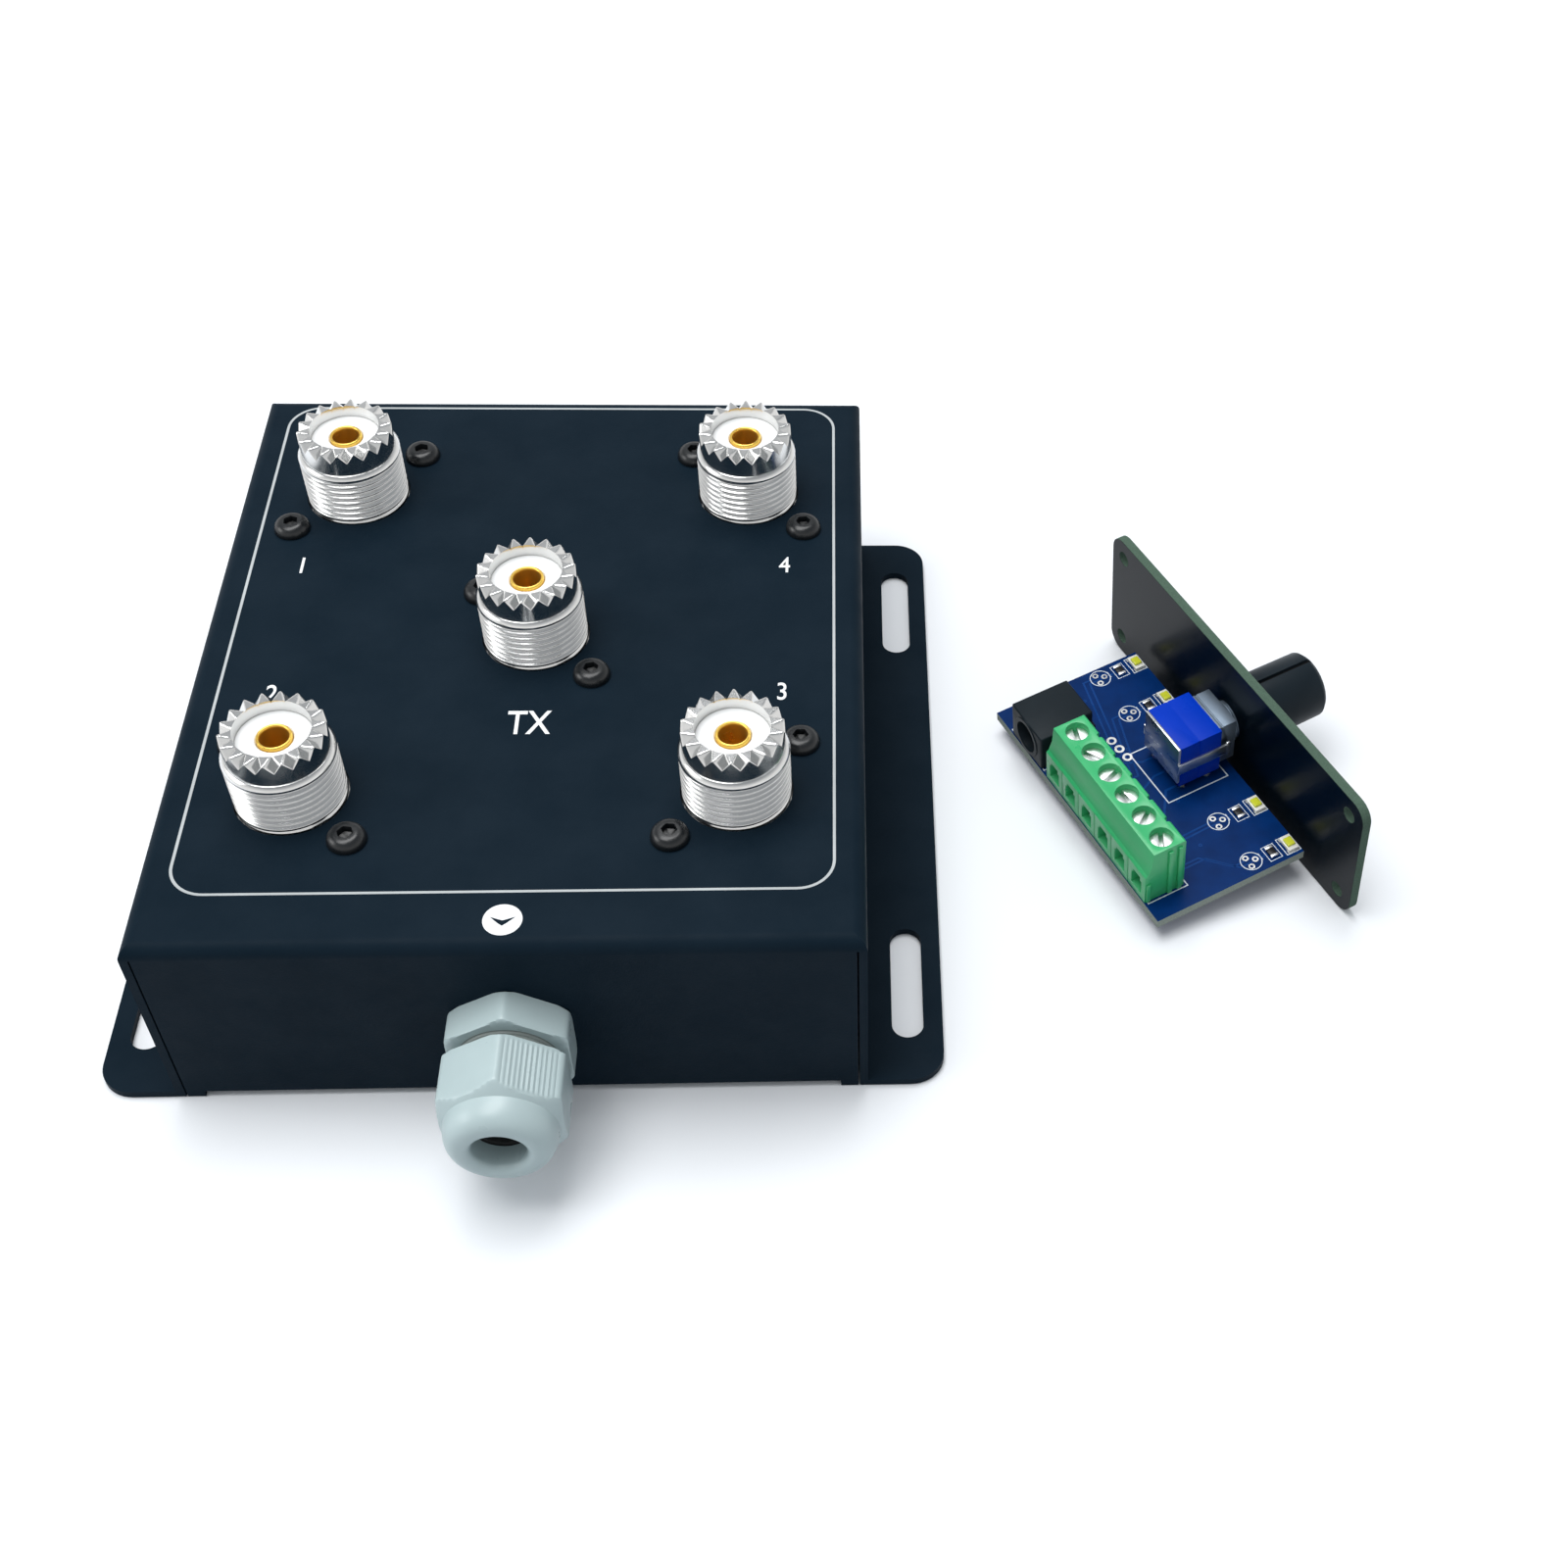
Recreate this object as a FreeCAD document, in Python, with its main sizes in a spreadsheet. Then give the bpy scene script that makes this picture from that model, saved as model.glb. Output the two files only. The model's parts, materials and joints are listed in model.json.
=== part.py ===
"""Remote coaxial antenna switch: a relay box with five sockets and its bare control unit.

Millimetres. The origin is the centre of the relay box's underside, +Z up, with the cable
gland on the -Y side. The control unit stands to the box's +X side, tilted as it rests on
the lower edge of its panel and on its solder tails. It is drawn in its own axes, X towards
the knob and Z up out of the main board, from the middle of the board's front edge.
"""
import FreeCAD, Part
import math
import os
import re
from FreeCAD import Placement, Rotation, Vector

os.makedirs("parts", exist_ok=True)
doc = FreeCAD.newDocument("antenna_switch")

# Driving sizes, in millimetres unless the name says otherwise
SIZES = {
    # relay box shell
    "box_w": 100, "box_d": 119, "box_h": 34, "sheet": 1.2, "bend": 2.0, "seam": 0.25,
    "flange_w": 11.4, "flange_round": 5.0,
    "slot_w": 4.8, "slot_l": 20.8, "slot_x": 56.1, "slot_y": 41.5,
    "lip_w": 92, "lip_d": 9, "plate_play": 0.3,
    "plate_screw_x": 36, "plate_screw_y": 53.5,
    # coaxial sockets, heights above the top panel
    "port_x": 31.5, "port_back_y": 35, "port_front_y": -31, "port_mid_y": 1.5,
    "barrel_r": 7.94, "barrel_top": 9.2, "barrel_bevel": 0.6, "neck_r": 7.6, "port_hole_r": 8.15,
    "crown_r": 7.3, "crown_top": 13.1, "tooth_count": 18,
    "tooth_slope_deg": 36, "tooth_bar": 3.0, "tooth_start_r": 5.1,
    "foot_side": 25.4, "foot_t": 2.0, "dielectric_r": 5.4, "dielectric_top": 11.2, "dielectric_under": 6.0,
    "contact_r": 2.5, "contact_bore_r": 2.0, "contact_top": 11.6, "contact_depth": 11.4, "sleeve_under": 3.0,
    "tail_r": 1.1, "tail_len": 10.4, "screw_pitch_half": 9.12, "fit": 0.03,
    # small screws
    "screw_r": 1.45, "screw_hole_r": 1.6, "head_r": 2.85, "head_t": 1.8, "hex_key": 2.0, "hex_deep": 1.0,
    "shank_len": 6.0, "pan_r": 2.75, "pan_t": 1.6, "pan_key_deep": 0.8, "pan_shank": 4.6,
    "sunk_shank": 5.2, "sunk_key_deep": 0.9,
    # relay board and standoffs
    "board_w": 88, "board_back_y": 49, "board_front_y": -47, "board_top_z": 24.0, "board_t": 1.6,
    "standoff_across": 5.0, "standoff_bore_r": 1.52,
    # relays
    "relay_w": 12.7, "relay_l": 29, "relay_tall": 15.5, "relay_wall": 0.8,
    "relay_x": 19.5, "relay_y": 20, "relay_base_t": 2.4, "relay_lift": 0.2, "relay_round": 0.5,
    "coil_r": 4.0, "flange_r": 4.5, "coil_len": 14.6, "coil_z": 7.4, "core_r": 1.8, "coil_rear_y": -11.6,
    "rim_t": 0.8, "iron_w": 8.0, "yoke_t": 1.0, "armature_t": 1.2, "armature_y": 4.15, "pivot_z": 13.2,
    "armature_gap": 0.25, "arm_w": 3.0, "arm_len": 5.2, "arm_t": 0.8,
    "blade_y": 9.0, "blade_w": 2.4, "blade_t": 0.4,
    "button_r": 0.9, "button_y": 8.6, "button_len": 1.2, "strip_w": 2.2, "strip_t": 0.5, "pin_r": 0.4,
    "open_contact_y": 6.6, "closed_contact_y": 11.6, "contact_z": 6.6,
    "contact_gap": 0.05, "contact_travel": 0.47,
    # screw terminals, both blocks
    "way_pitch": 5.08, "way_count": 6, "wire_hole": 2.9, "term_screw_r": 1.9, "term_slot_deep": 0.8,
    "cable_block_deep": 8.0, "cable_block_tall": 10.0, "cable_screw_in": 4.0, "cable_slot_w": 0.5,
    "cable_stud_len": 3.2, "cable_stud_sunk": 0.8, "cable_wire_roof": 2.0, "cable_wire_deep": 5.0,
    # cable gland on the front wall
    "gland_z": 15, "gland_across": 17, "gland_hex_t": 5.2, "gland_thread_r": 6.2,
    "gland_bore_r": 4.2, "gland_inner_len": 9.0, "collar_r": 7.0, "collar_end": 13.4,
    "nut_start": 7.1, "nut_flat_end": 16.4, "nut_end": 20.7, "cable_hole_r": 3.8,
    "seal_r": 5.1, "seal_start": 7.0, "seal_end": 16.6, "cable_bore_r": 3.3, "locknut_t": 4.0,
    "tighten_travel": 1.8, "dome_round_r": 3.4, "over_thread": 0.05,
    # control unit, where its board's front edge stands and how it turns
    "unit_x": 108.8, "unit_y": 2.6, "unit_turn_deg": 26.5,
    "main_w": 51.2, "main_d": 27.6, "main_t": 1.6,
    "panel_w": 72.4, "panel_tall": 25.6, "panel_drop": 6.6, "panel_t": 1.6, "panel_gap": 1.7,
    "panel_round": 3.0, "panel_hole_r": 1.35, "panel_hole_in": 3.5, "bush_hole_r": 3.6,
    "solder_tail": 2.8,
    # rotary switch
    "shaft_z": 6.0, "switch_w": 10.0, "switch_tall": 9.2, "switch_rear": 10.6, "switch_front": 2.8,
    "chamber_wall": 0.8, "nose_w": 8.2, "nose_tall": 8.6, "nose_front": 0.6, "bush_r": 3.5, "bush_end": 5.6,
    "strap_t": 0.4, "strap_w": 2.2, "strap_plate_t": 0.5, "strap_over_nose": 1.6, "pin_w": 0.8, "pin_t": 0.6,
    "pin_end": 1.4, "panel_nut_across": 9.0, "panel_nut_t": 2.0,
    "shaft_r": 3.0, "shaft_end": 15.6, "shaft_play": 0.05, "rotor_r": 3.8, "rotor_front": 6.1, "rotor_t": 3.0,
    "spigot_r": 1.0, "spigot_len": 1.5,
    "finger_out": 0.4, "finger_t": 0.6, "finger_side": 1.2, "finger_up": 1.8,
    "knob_r": 5.8, "knob_tip_r": 5.65, "knob_start": 6.0, "knob_end": 18.1, "knob_edge": 0.9,
    "pointer_w": 0.7, "pointer_deep": 0.5, "pointer_in": 1.0,
    # terminal block of the control unit
    "term_y": -6.2, "term_rear": 27.5, "term_deep": 7.3, "term_tall": 11.2, "term_top_deep": 5.9,
    "term_slope_z": 6.2, "tail_in": 3.0, "leg_r": 0.5, "wire_floor": 1.3, "term_wire_deep": 6.2,
    "stud_low": 4.1, "stud_sunk": 1.2, "term_slot_w": 0.6, "cage_in": 2.4, "cage_len": 3.6, "cage_side": 2.6,
    "entry_w": 1.8, "entry_tall": 1.6,
    # power jack
    "jack_y": 15.6, "jack_w": 9.6, "jack_len": 10.6, "jack_tall": 7.2, "jack_hole_r": 2.8, "jack_set": 0.1,
    "jack_round": 0.4, "jack_back_wall": 1.8, "jack_pin_r": 1.0, "jack_pin_in": 1.2, "jack_pin_len": 7.6,
    "jack_tail_t": 0.4, "jack_tail_w": 1.8, "jack_tail_end": 1.6,
    # lamps and resistors
    "lamp_outer_y": 23.2, "lamp_inner_y": 13.7, "lamp_len": 2.0, "lamp_w": 2.6, "lamp_t": 0.9, "lamp_in": 0.1,
    "resistor_len": 2.0, "resistor_w": 1.25, "resistor_t": 0.5, "resistor_in": 3.6,
}

sheet = doc.addObject("Spreadsheet::Sheet", "Sizes")
for row, (alias, value) in enumerate(SIZES.items(), start=1):
    sheet.set(f"A{row}", alias)
    sheet.set(f"B{row}", str(value))
    sheet.setAlias(f"B{row}", alias)
doc.recompute()


def size(alias):
    """A driving size, read back from its cell."""
    return float(sheet.get(alias))


def formula(text):
    """Point each size name in an expression at its cell."""
    return re.sub(r"[a-z][a-z0-9_]*", lambda word: prefixed(word[0]), str(text))


def prefixed(word):
    return "Sizes." + word if word in SIZES else word


ALONG = {
    "x": Rotation(Vector(0, 1, 0), 90),
    "y": Rotation(Vector(1, 0, 0), -90),
    "z": Rotation(),
}


def put(item, place):
    """Bind an object's position to three expressions."""
    for axis, text in zip("xyz", place):
        item.setExpression(".Placement.Base." + axis, formula(text))
    return item


def block(name, dims, corner):
    """A box from its three dimensions and its lowest corner."""
    item = doc.addObject("Part::Box", name)
    for prop, text in zip(("Length", "Width", "Height"), dims):
        item.setExpression(prop, formula(text))
    return put(item, corner)


def rod(name, radius, length, start, axis="z"):
    """A cylinder that runs from its start along an axis."""
    item = doc.addObject("Part::Cylinder", name)
    item.setExpression("Radius", formula(radius))
    item.setExpression("Height", formula(length))
    item.Placement = Placement(Vector(), ALONG[axis])
    return put(item, start)


def cone(name, radius_start, radius_end, length, start, axis="z"):
    """A cone frustum that runs from its start along an axis."""
    item = doc.addObject("Part::Cone", name)
    item.setExpression("Radius1", formula(radius_start))
    item.setExpression("Radius2", formula(radius_end))
    item.setExpression("Height", formula(length))
    item.Placement = Placement(Vector(), ALONG[axis])
    return put(item, start)


def hexagon(name, across, length, start, axis="z", turn=0):
    """A hexagonal bar, its width across flats an expression."""
    item = doc.addObject("Part::Prism", name)
    item.Polygon = 6
    item.setExpression("Circumradius", formula(f"({across}) / sqrt(3)"))
    item.setExpression("Height", formula(length))
    item.Placement = Placement(Vector(), ALONG[axis].multiply(Rotation(Vector(0, 0, 1), turn)))
    return put(item, start)


def fuse(name, items):
    item = doc.addObject("Part::MultiFuse", name)
    item.Shapes = items
    item.Refine = True
    return item


def cut(name, base, tools):
    """Cut one or several tools out of a base."""
    item = doc.addObject("Part::Cut", name)
    item.Base = base
    item.Tool = tools[0] if len(tools) == 1 else fuse(name + "_tools", tools)
    return item


def group(name, items):
    """Several separate solids kept as one sub-part."""
    item = doc.addObject("Part::Compound", name)
    item.Links = items
    return item


def soften(name, base, radius, wanted, kind="Part::Fillet"):
    """Round or chamfer those edges of a base that a test picks."""
    doc.recompute()
    item = doc.addObject(kind, name)
    item.Base = base
    picked = [n for n, edge in enumerate(base.Shape.Edges, start=1) if wanted(edge)]
    if not picked:
        raise RuntimeError(f"no edge to soften on {name}")
    item.Edges = [(n, radius, radius) for n in picked]
    return item


def runs_along(edge, axis):
    """True for a straight edge parallel to an axis."""
    if edge.Curve.TypeId != "Part::GeomLine":
        return False
    return abs(edge.tangentAt(edge.FirstParameter).dot(axis)) > 0.999


def circle_at(edge, radius, axis, height, slack=0.02):
    """True for a full circle of a radius at a height along an axis."""
    if edge.Curve.TypeId != "Part::GeomCircle" or not edge.isClosed():
        return False
    return abs(edge.Curve.Radius - radius) < slack and abs(edge.Curve.Center.dot(axis) - height) < slack


X, Y, Z = Vector(1, 0, 0), Vector(0, 1, 0), Vector(0, 0, 1)

# The sub-parts to write, by node name
pieces = {}


def keep(label, item):
    """Name an object as a sub-part of its own."""
    item.Label = label
    pieces[label] = item
    return item


# Relay box

PORTS = {
    "1": ("-port_x", "port_back_y", 1),
    "2": ("-port_x", "port_front_y", -1),
    "3": ("port_x", "port_front_y", 1),
    "4": ("port_x", "port_back_y", -1),
    "tx": ("0", "port_mid_y", -1),
}


def socket_screw_spots():
    """The two diagonal screws of each socket: sign +1 rises to the right, -1 falls."""
    spots = []
    for x, y, slant in PORTS.values():
        for side in (-1, 1):
            spots.append((f"{x} + ({side}) * screw_pitch_half", f"{y} + ({side * slant}) * screw_pitch_half"))
    return spots


def make_shell():
    outer = block("shell_outer", ("box_w", "box_d", "box_h"), ("-box_w/2", "-box_d/2", "0"))
    top_z = size("box_h")
    bent = soften("shell_bends", outer, size("bend"),
                  lambda e: abs(e.CenterOfMass.z - top_z) < 0.01)
    flanges = []
    for side, x in (("left", "-box_w/2 - flange_w"), ("right", "box_w/2 - sheet")):
        strip = block(f"shell_flange_{side}", ("flange_w + sheet", "box_d", "sheet"), (x, "-box_d/2", "0"))
        rounded = soften(f"shell_flange_{side}_round", strip, size("flange_round"),
                         lambda e: runs_along(e, Z) and abs(e.CenterOfMass.x) > size("box_w") / 2 + 1)
        flanges.append(rounded)
    body = fuse("shell_body", [bent] + flanges)

    tools = [block("shell_hollow", ("box_w - 2*sheet", "box_d - 2*sheet", "box_h - sheet"),
                   ("-box_w/2 + sheet", "-box_d/2 + sheet", "0"))]
    for end, y in (("front", "-box_d/2"), ("back", "box_d/2 - sheet")):
        for side, x in (("left", "-box_w/2 + sheet"), ("right", "box_w/2 - sheet - seam")):
            tools.append(block(f"shell_seam_{end}_{side}", ("seam", "sheet", "box_h - bend"), (x, y, "0")))
        tools.append(block(f"shell_recess_{end}", ("lip_w", "sheet", "sheet"), ("-lip_w/2", y, "0")))
    for n, (x, y, _) in enumerate(PORTS.values()):
        tools.append(rod(f"shell_port_{n}", "port_hole_r", "4*sheet", (x, y, "box_h - 2*sheet")))
    for n, (x, y) in enumerate(socket_screw_spots()):
        tools.append(rod(f"shell_screw_hole_{n}", "screw_hole_r", "4*sheet", (x, y, "box_h - 2*sheet")))
    tools.append(rod("shell_gland_hole", "gland_thread_r + 0.2", "3*sheet",
                     ("0", "-box_d/2 - sheet", "gland_z"), "y"))
    for n, (sx, sy) in enumerate(((-1, -1), (-1, 1), (1, -1), (1, 1))):
        tools.append(block(f"shell_slot_{n}", ("slot_w", "slot_l - slot_w", "3*sheet"),
                           (f"({sx})*slot_x - slot_w/2", f"({sy})*slot_y - (slot_l - slot_w)/2", "-sheet")))
        for end in (-1, 1):
            tools.append(rod(f"shell_slot_{n}_end_{end + 1}", "slot_w/2", "3*sheet",
                             (f"({sx})*slot_x", f"({sy})*slot_y + ({end})*(slot_l - slot_w)/2", "-sheet")))
    hollow = cut("shell_cut", body, tools)

    lips = []
    for end, y in (("front", "-box_d/2"), ("back", "box_d/2 - lip_d")):
        lip = block(f"shell_lip_{end}", ("lip_w", "lip_d", "sheet"), ("-lip_w/2", y, "sheet"))
        outside = size("box_d") / 2
        bend = soften(f"shell_lip_{end}_bend", lip, size("sheet") * 0.8,
                      lambda e: runs_along(e, X) and abs(abs(e.CenterOfMass.y) - outside) < 0.01
                      and abs(e.CenterOfMass.z - size("sheet")) < 0.01)
        holes = [rod(f"shell_lip_{end}_hole_{side + 1}", "screw_hole_r", "3*sheet",
                     (f"({side})*plate_screw_x", f"({'-' if end == 'front' else ''}plate_screw_y)", "0"))
                 for side in (-1, 1)]
        lips.append(cut(f"shell_lip_{end}_drilled", bend, holes))
    keep("enclosure_shell", fuse("shell", [hollow] + lips))


def make_bottom():
    """Flat plate under the folded lips, its edges set back behind the walls."""
    plate = block("bottom_blank",
                  ("box_w - 2*sheet - 2*plate_play", "box_d - 2*sheet - 2*plate_play", "sheet"),
                  ("-box_w/2 + sheet + plate_play", "-box_d/2 + sheet + plate_play", "0"))
    sinks, screws = [], []
    for n, (sx, sy) in enumerate(((-1, -1), (-1, 1), (1, -1), (1, 1))):
        spot = (f"({sx})*plate_screw_x", f"({sy})*plate_screw_y")
        sinks.append(cone(f"bottom_sink_{n}", "head_r", "screw_hole_r", "sheet", (*spot, "0")))
        head = cone(f"bottom_screw_{n}_head", "head_r - fit", "screw_r", "sheet", (*spot, "0"))
        shank = rod(f"bottom_screw_{n}_shank", "screw_r", "sunk_shank", (*spot, "0"))
        drive = hexagon(f"bottom_screw_{n}_drive", "hex_key", "sunk_key_deep", (*spot, "0"))
        screws.append(cut(f"bottom_screw_{n}", fuse(f"bottom_screw_{n}_solid", [head, shank]), [drive]))
    keep("bottom_plate", cut("bottom", plate, sinks))
    keep("bottom_screws", group("bottom_screw_set", screws))


def body_primitive(body, kind, name, sizes, place):
    """One primitive feature of a body, its sizes and position bound to the sheet."""
    item = body.newObject("PartDesign::" + kind, name)
    for prop, text in sizes.items():
        item.setExpression(prop, formula(text))
    return put(item, place)


def make_socket(port, x, y, slant):
    """Square-footed socket drawn from the top panel's surface: foot, neck, barrel and toothed crown."""
    body = doc.addObject("PartDesign::Body", "socket_" + port)
    body_primitive(body, "AdditiveBox", f"foot_{port}",
                   {"Length": "foot_side", "Width": "foot_side", "Height": "foot_t"},
                   ("-foot_side/2", "-foot_side/2", "-sheet - foot_t"))
    body_primitive(body, "AdditiveCylinder", f"neck_{port}", {"Radius": "neck_r", "Height": "sheet"},
                   ("0", "0", "-sheet"))
    body_primitive(body, "AdditiveCylinder", f"barrel_{port}",
                   {"Radius": "barrel_r", "Height": "barrel_top - barrel_bevel"}, ("0", "0", "0"))
    body_primitive(body, "AdditiveCone", f"bevel_{port}",
                   {"Radius1": "barrel_r", "Radius2": "barrel_r - barrel_bevel", "Height": "barrel_bevel"},
                   ("0", "0", "barrel_top - barrel_bevel"))
    body_primitive(body, "AdditiveCylinder", f"crown_{port}",
                   {"Radius": "crown_r", "Height": "crown_top - barrel_top"}, ("0", "0", "barrel_top"))
    body_primitive(body, "SubtractiveCylinder", f"bore_{port}",
                   {"Radius": "dielectric_r", "Height": "crown_top + sheet + foot_t"},
                   ("0", "0", "-sheet - foot_t"))
    for n, (sx, sy) in enumerate(((-1, -1), (-1, 1), (1, -1), (1, 1))):
        body_primitive(body, "SubtractiveCylinder", f"foot_hole_{port}_{n}",
                       {"Radius": "screw_hole_r", "Height": "foot_t"},
                       (f"({sx})*screw_pitch_half", f"({sy})*screw_pitch_half", "-sheet - foot_t"))
    # a square bar on its edge, tipped outwards, leaves one valley between two teeth
    valley = body.newObject("PartDesign::SubtractiveBox", f"valley_{port}")
    tip = Rotation(Y, size("tooth_slope_deg")).multiply(Rotation(X, 45))
    valley.Placement = Placement(Vector(), tip)
    for prop in ("Width", "Height"):
        valley.setExpression(prop, formula("tooth_bar"))
    valley.setExpression("Length", formula("2*tooth_bar"))
    put(valley, ("tooth_start_r", "0", "crown_top + 0.05"))
    doc.recompute()
    ring = body.newObject("PartDesign::PolarPattern", f"teeth_{port}")
    ring.Originals = [valley]
    ring.Axis = ([o for o in body.Origin.OriginFeatures if o.Role == "Z_Axis"][0], [""])
    ring.Angle = 360
    ring.setExpression("Occurrences", formula("tooth_count"))
    body.Tip = ring
    put(body, (x, y, "box_h"))
    keep("socket_body_" + port, body)

    under = "dielectric_under"
    disc = rod(f"insulator_{port}_disc", "dielectric_r - fit", f"dielectric_top + {under}",
               (x, y, f"box_h - {under}"))
    hole = rod(f"insulator_{port}_hole", "contact_r + fit", f"dielectric_top + 2*{under}",
               (x, y, f"box_h - 1.5*{under}"))
    keep("socket_insulator_" + port, cut(f"insulator_{port}", disc, [hole]))

    sleeve = rod(f"contact_{port}_sleeve", "contact_r", "contact_top + sleeve_under",
                 (x, y, "box_h - sleeve_under"))
    tail = rod(f"contact_{port}_tail", "tail_r", "tail_len", (x, y, "box_h - sleeve_under - tail_len + 0.4"))
    mouth = rod(f"contact_{port}_mouth", "contact_bore_r", "contact_depth",
                (x, y, "box_h + contact_top - contact_depth"))
    solid = fuse(f"contact_{port}_solid", [sleeve, tail])
    keep("socket_contact_" + port, cut(f"contact_{port}", solid, [mouth]))


def make_socket_fixings():
    """Button-head screws on top, hexagonal standoffs under the feet and screws under the board."""
    tops, standoffs, bottoms = [], [], []
    for n, (x, y) in enumerate(socket_screw_spots()):
        head = rod(f"top_screw_{n}_head", "head_r", "head_t", (x, y, "box_h"))
        radius = size("head_t") * 0.75
        dome = soften(f"top_screw_{n}_dome", head, radius,
                      lambda e: circle_at(e, size("head_r"), Z, size("box_h") + size("head_t")))
        shank = rod(f"top_screw_{n}_shank", "screw_r", "shank_len", (x, y, "box_h - shank_len"))
        drive = hexagon(f"top_screw_{n}_drive", "hex_key", "hex_deep", (x, y, "box_h + head_t - hex_deep"))
        tops.append(cut(f"top_screw_{n}", fuse(f"top_screw_{n}_solid", [dome, shank]), [drive]))

        bar = hexagon(f"standoff_{n}_bar", "standoff_across", "box_h - sheet - foot_t - board_top_z",
                      (x, y, "board_top_z"))
        bore = rod(f"standoff_{n}_bore", "standoff_bore_r", "box_h", (x, y, "0"))
        standoffs.append(cut(f"standoff_{n}", bar, [bore]))

        low = "board_top_z - board_t - pan_t"
        pan = rod(f"board_screw_{n}_head", "pan_r", "pan_t", (x, y, low))
        stem = rod(f"board_screw_{n}_stem", "screw_r", "pan_shank", (x, y, "board_top_z - board_t"))
        key = hexagon(f"board_screw_{n}_drive", "hex_key", "pan_key_deep", (x, y, low))
        bottoms.append(cut(f"board_screw_{n}", fuse(f"board_screw_{n}_solid", [pan, stem]), [key]))
    keep("socket_screws", group("top_screw_set", tops))
    keep("board_standoffs", group("standoff_set", standoffs))
    keep("board_screws", group("board_screw_set", bottoms))


def make_relay_board():
    plate = block("relay_board_blank", ("board_w", "board_back_y - board_front_y", "board_t"),
                  ("-board_w/2", "board_front_y", "board_top_z - board_t"))
    under = "board_top_z - 3*board_t"
    holes = []
    for n, (x, y) in enumerate(socket_screw_spots()):
        holes.append(rod(f"relay_board_hole_{n}", "screw_hole_r", "4*board_t", (x, y, under)))
    for n, (x, y, _) in enumerate(PORTS.values()):
        holes.append(rod(f"relay_board_pad_{n}", "tail_r + fit", "4*board_t", (x, y, under)))
    for number, (sx, sy) in RELAYS.items():
        for n, (x, y) in enumerate(RELAY_PINS):
            holes.append(rod(f"relay_{number}_board_hole_{n}", "pin_r + 0.1", "4*board_t",
                             (f"({sx})*relay_x - ({x})", f"({sy})*relay_y + {y}", under)))
    keep("relay_board", cut("relay_board_drilled", plate, holes))


# left or right and back or front of the box; a relay's pins are its two contacts, common and coil ends
RELAYS = {"1": (-1, 1), "2": (-1, -1), "3": (1, -1), "4": (1, 1)}
RELAY_PINS = (("0", "open_contact_y"), ("0", "closed_contact_y"), ("0", "coil_rear_y - 0.7"),
              ("-3.5", "coil_rear_y + 0.4"), ("3.5", "coil_rear_y + 0.4"))


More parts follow.
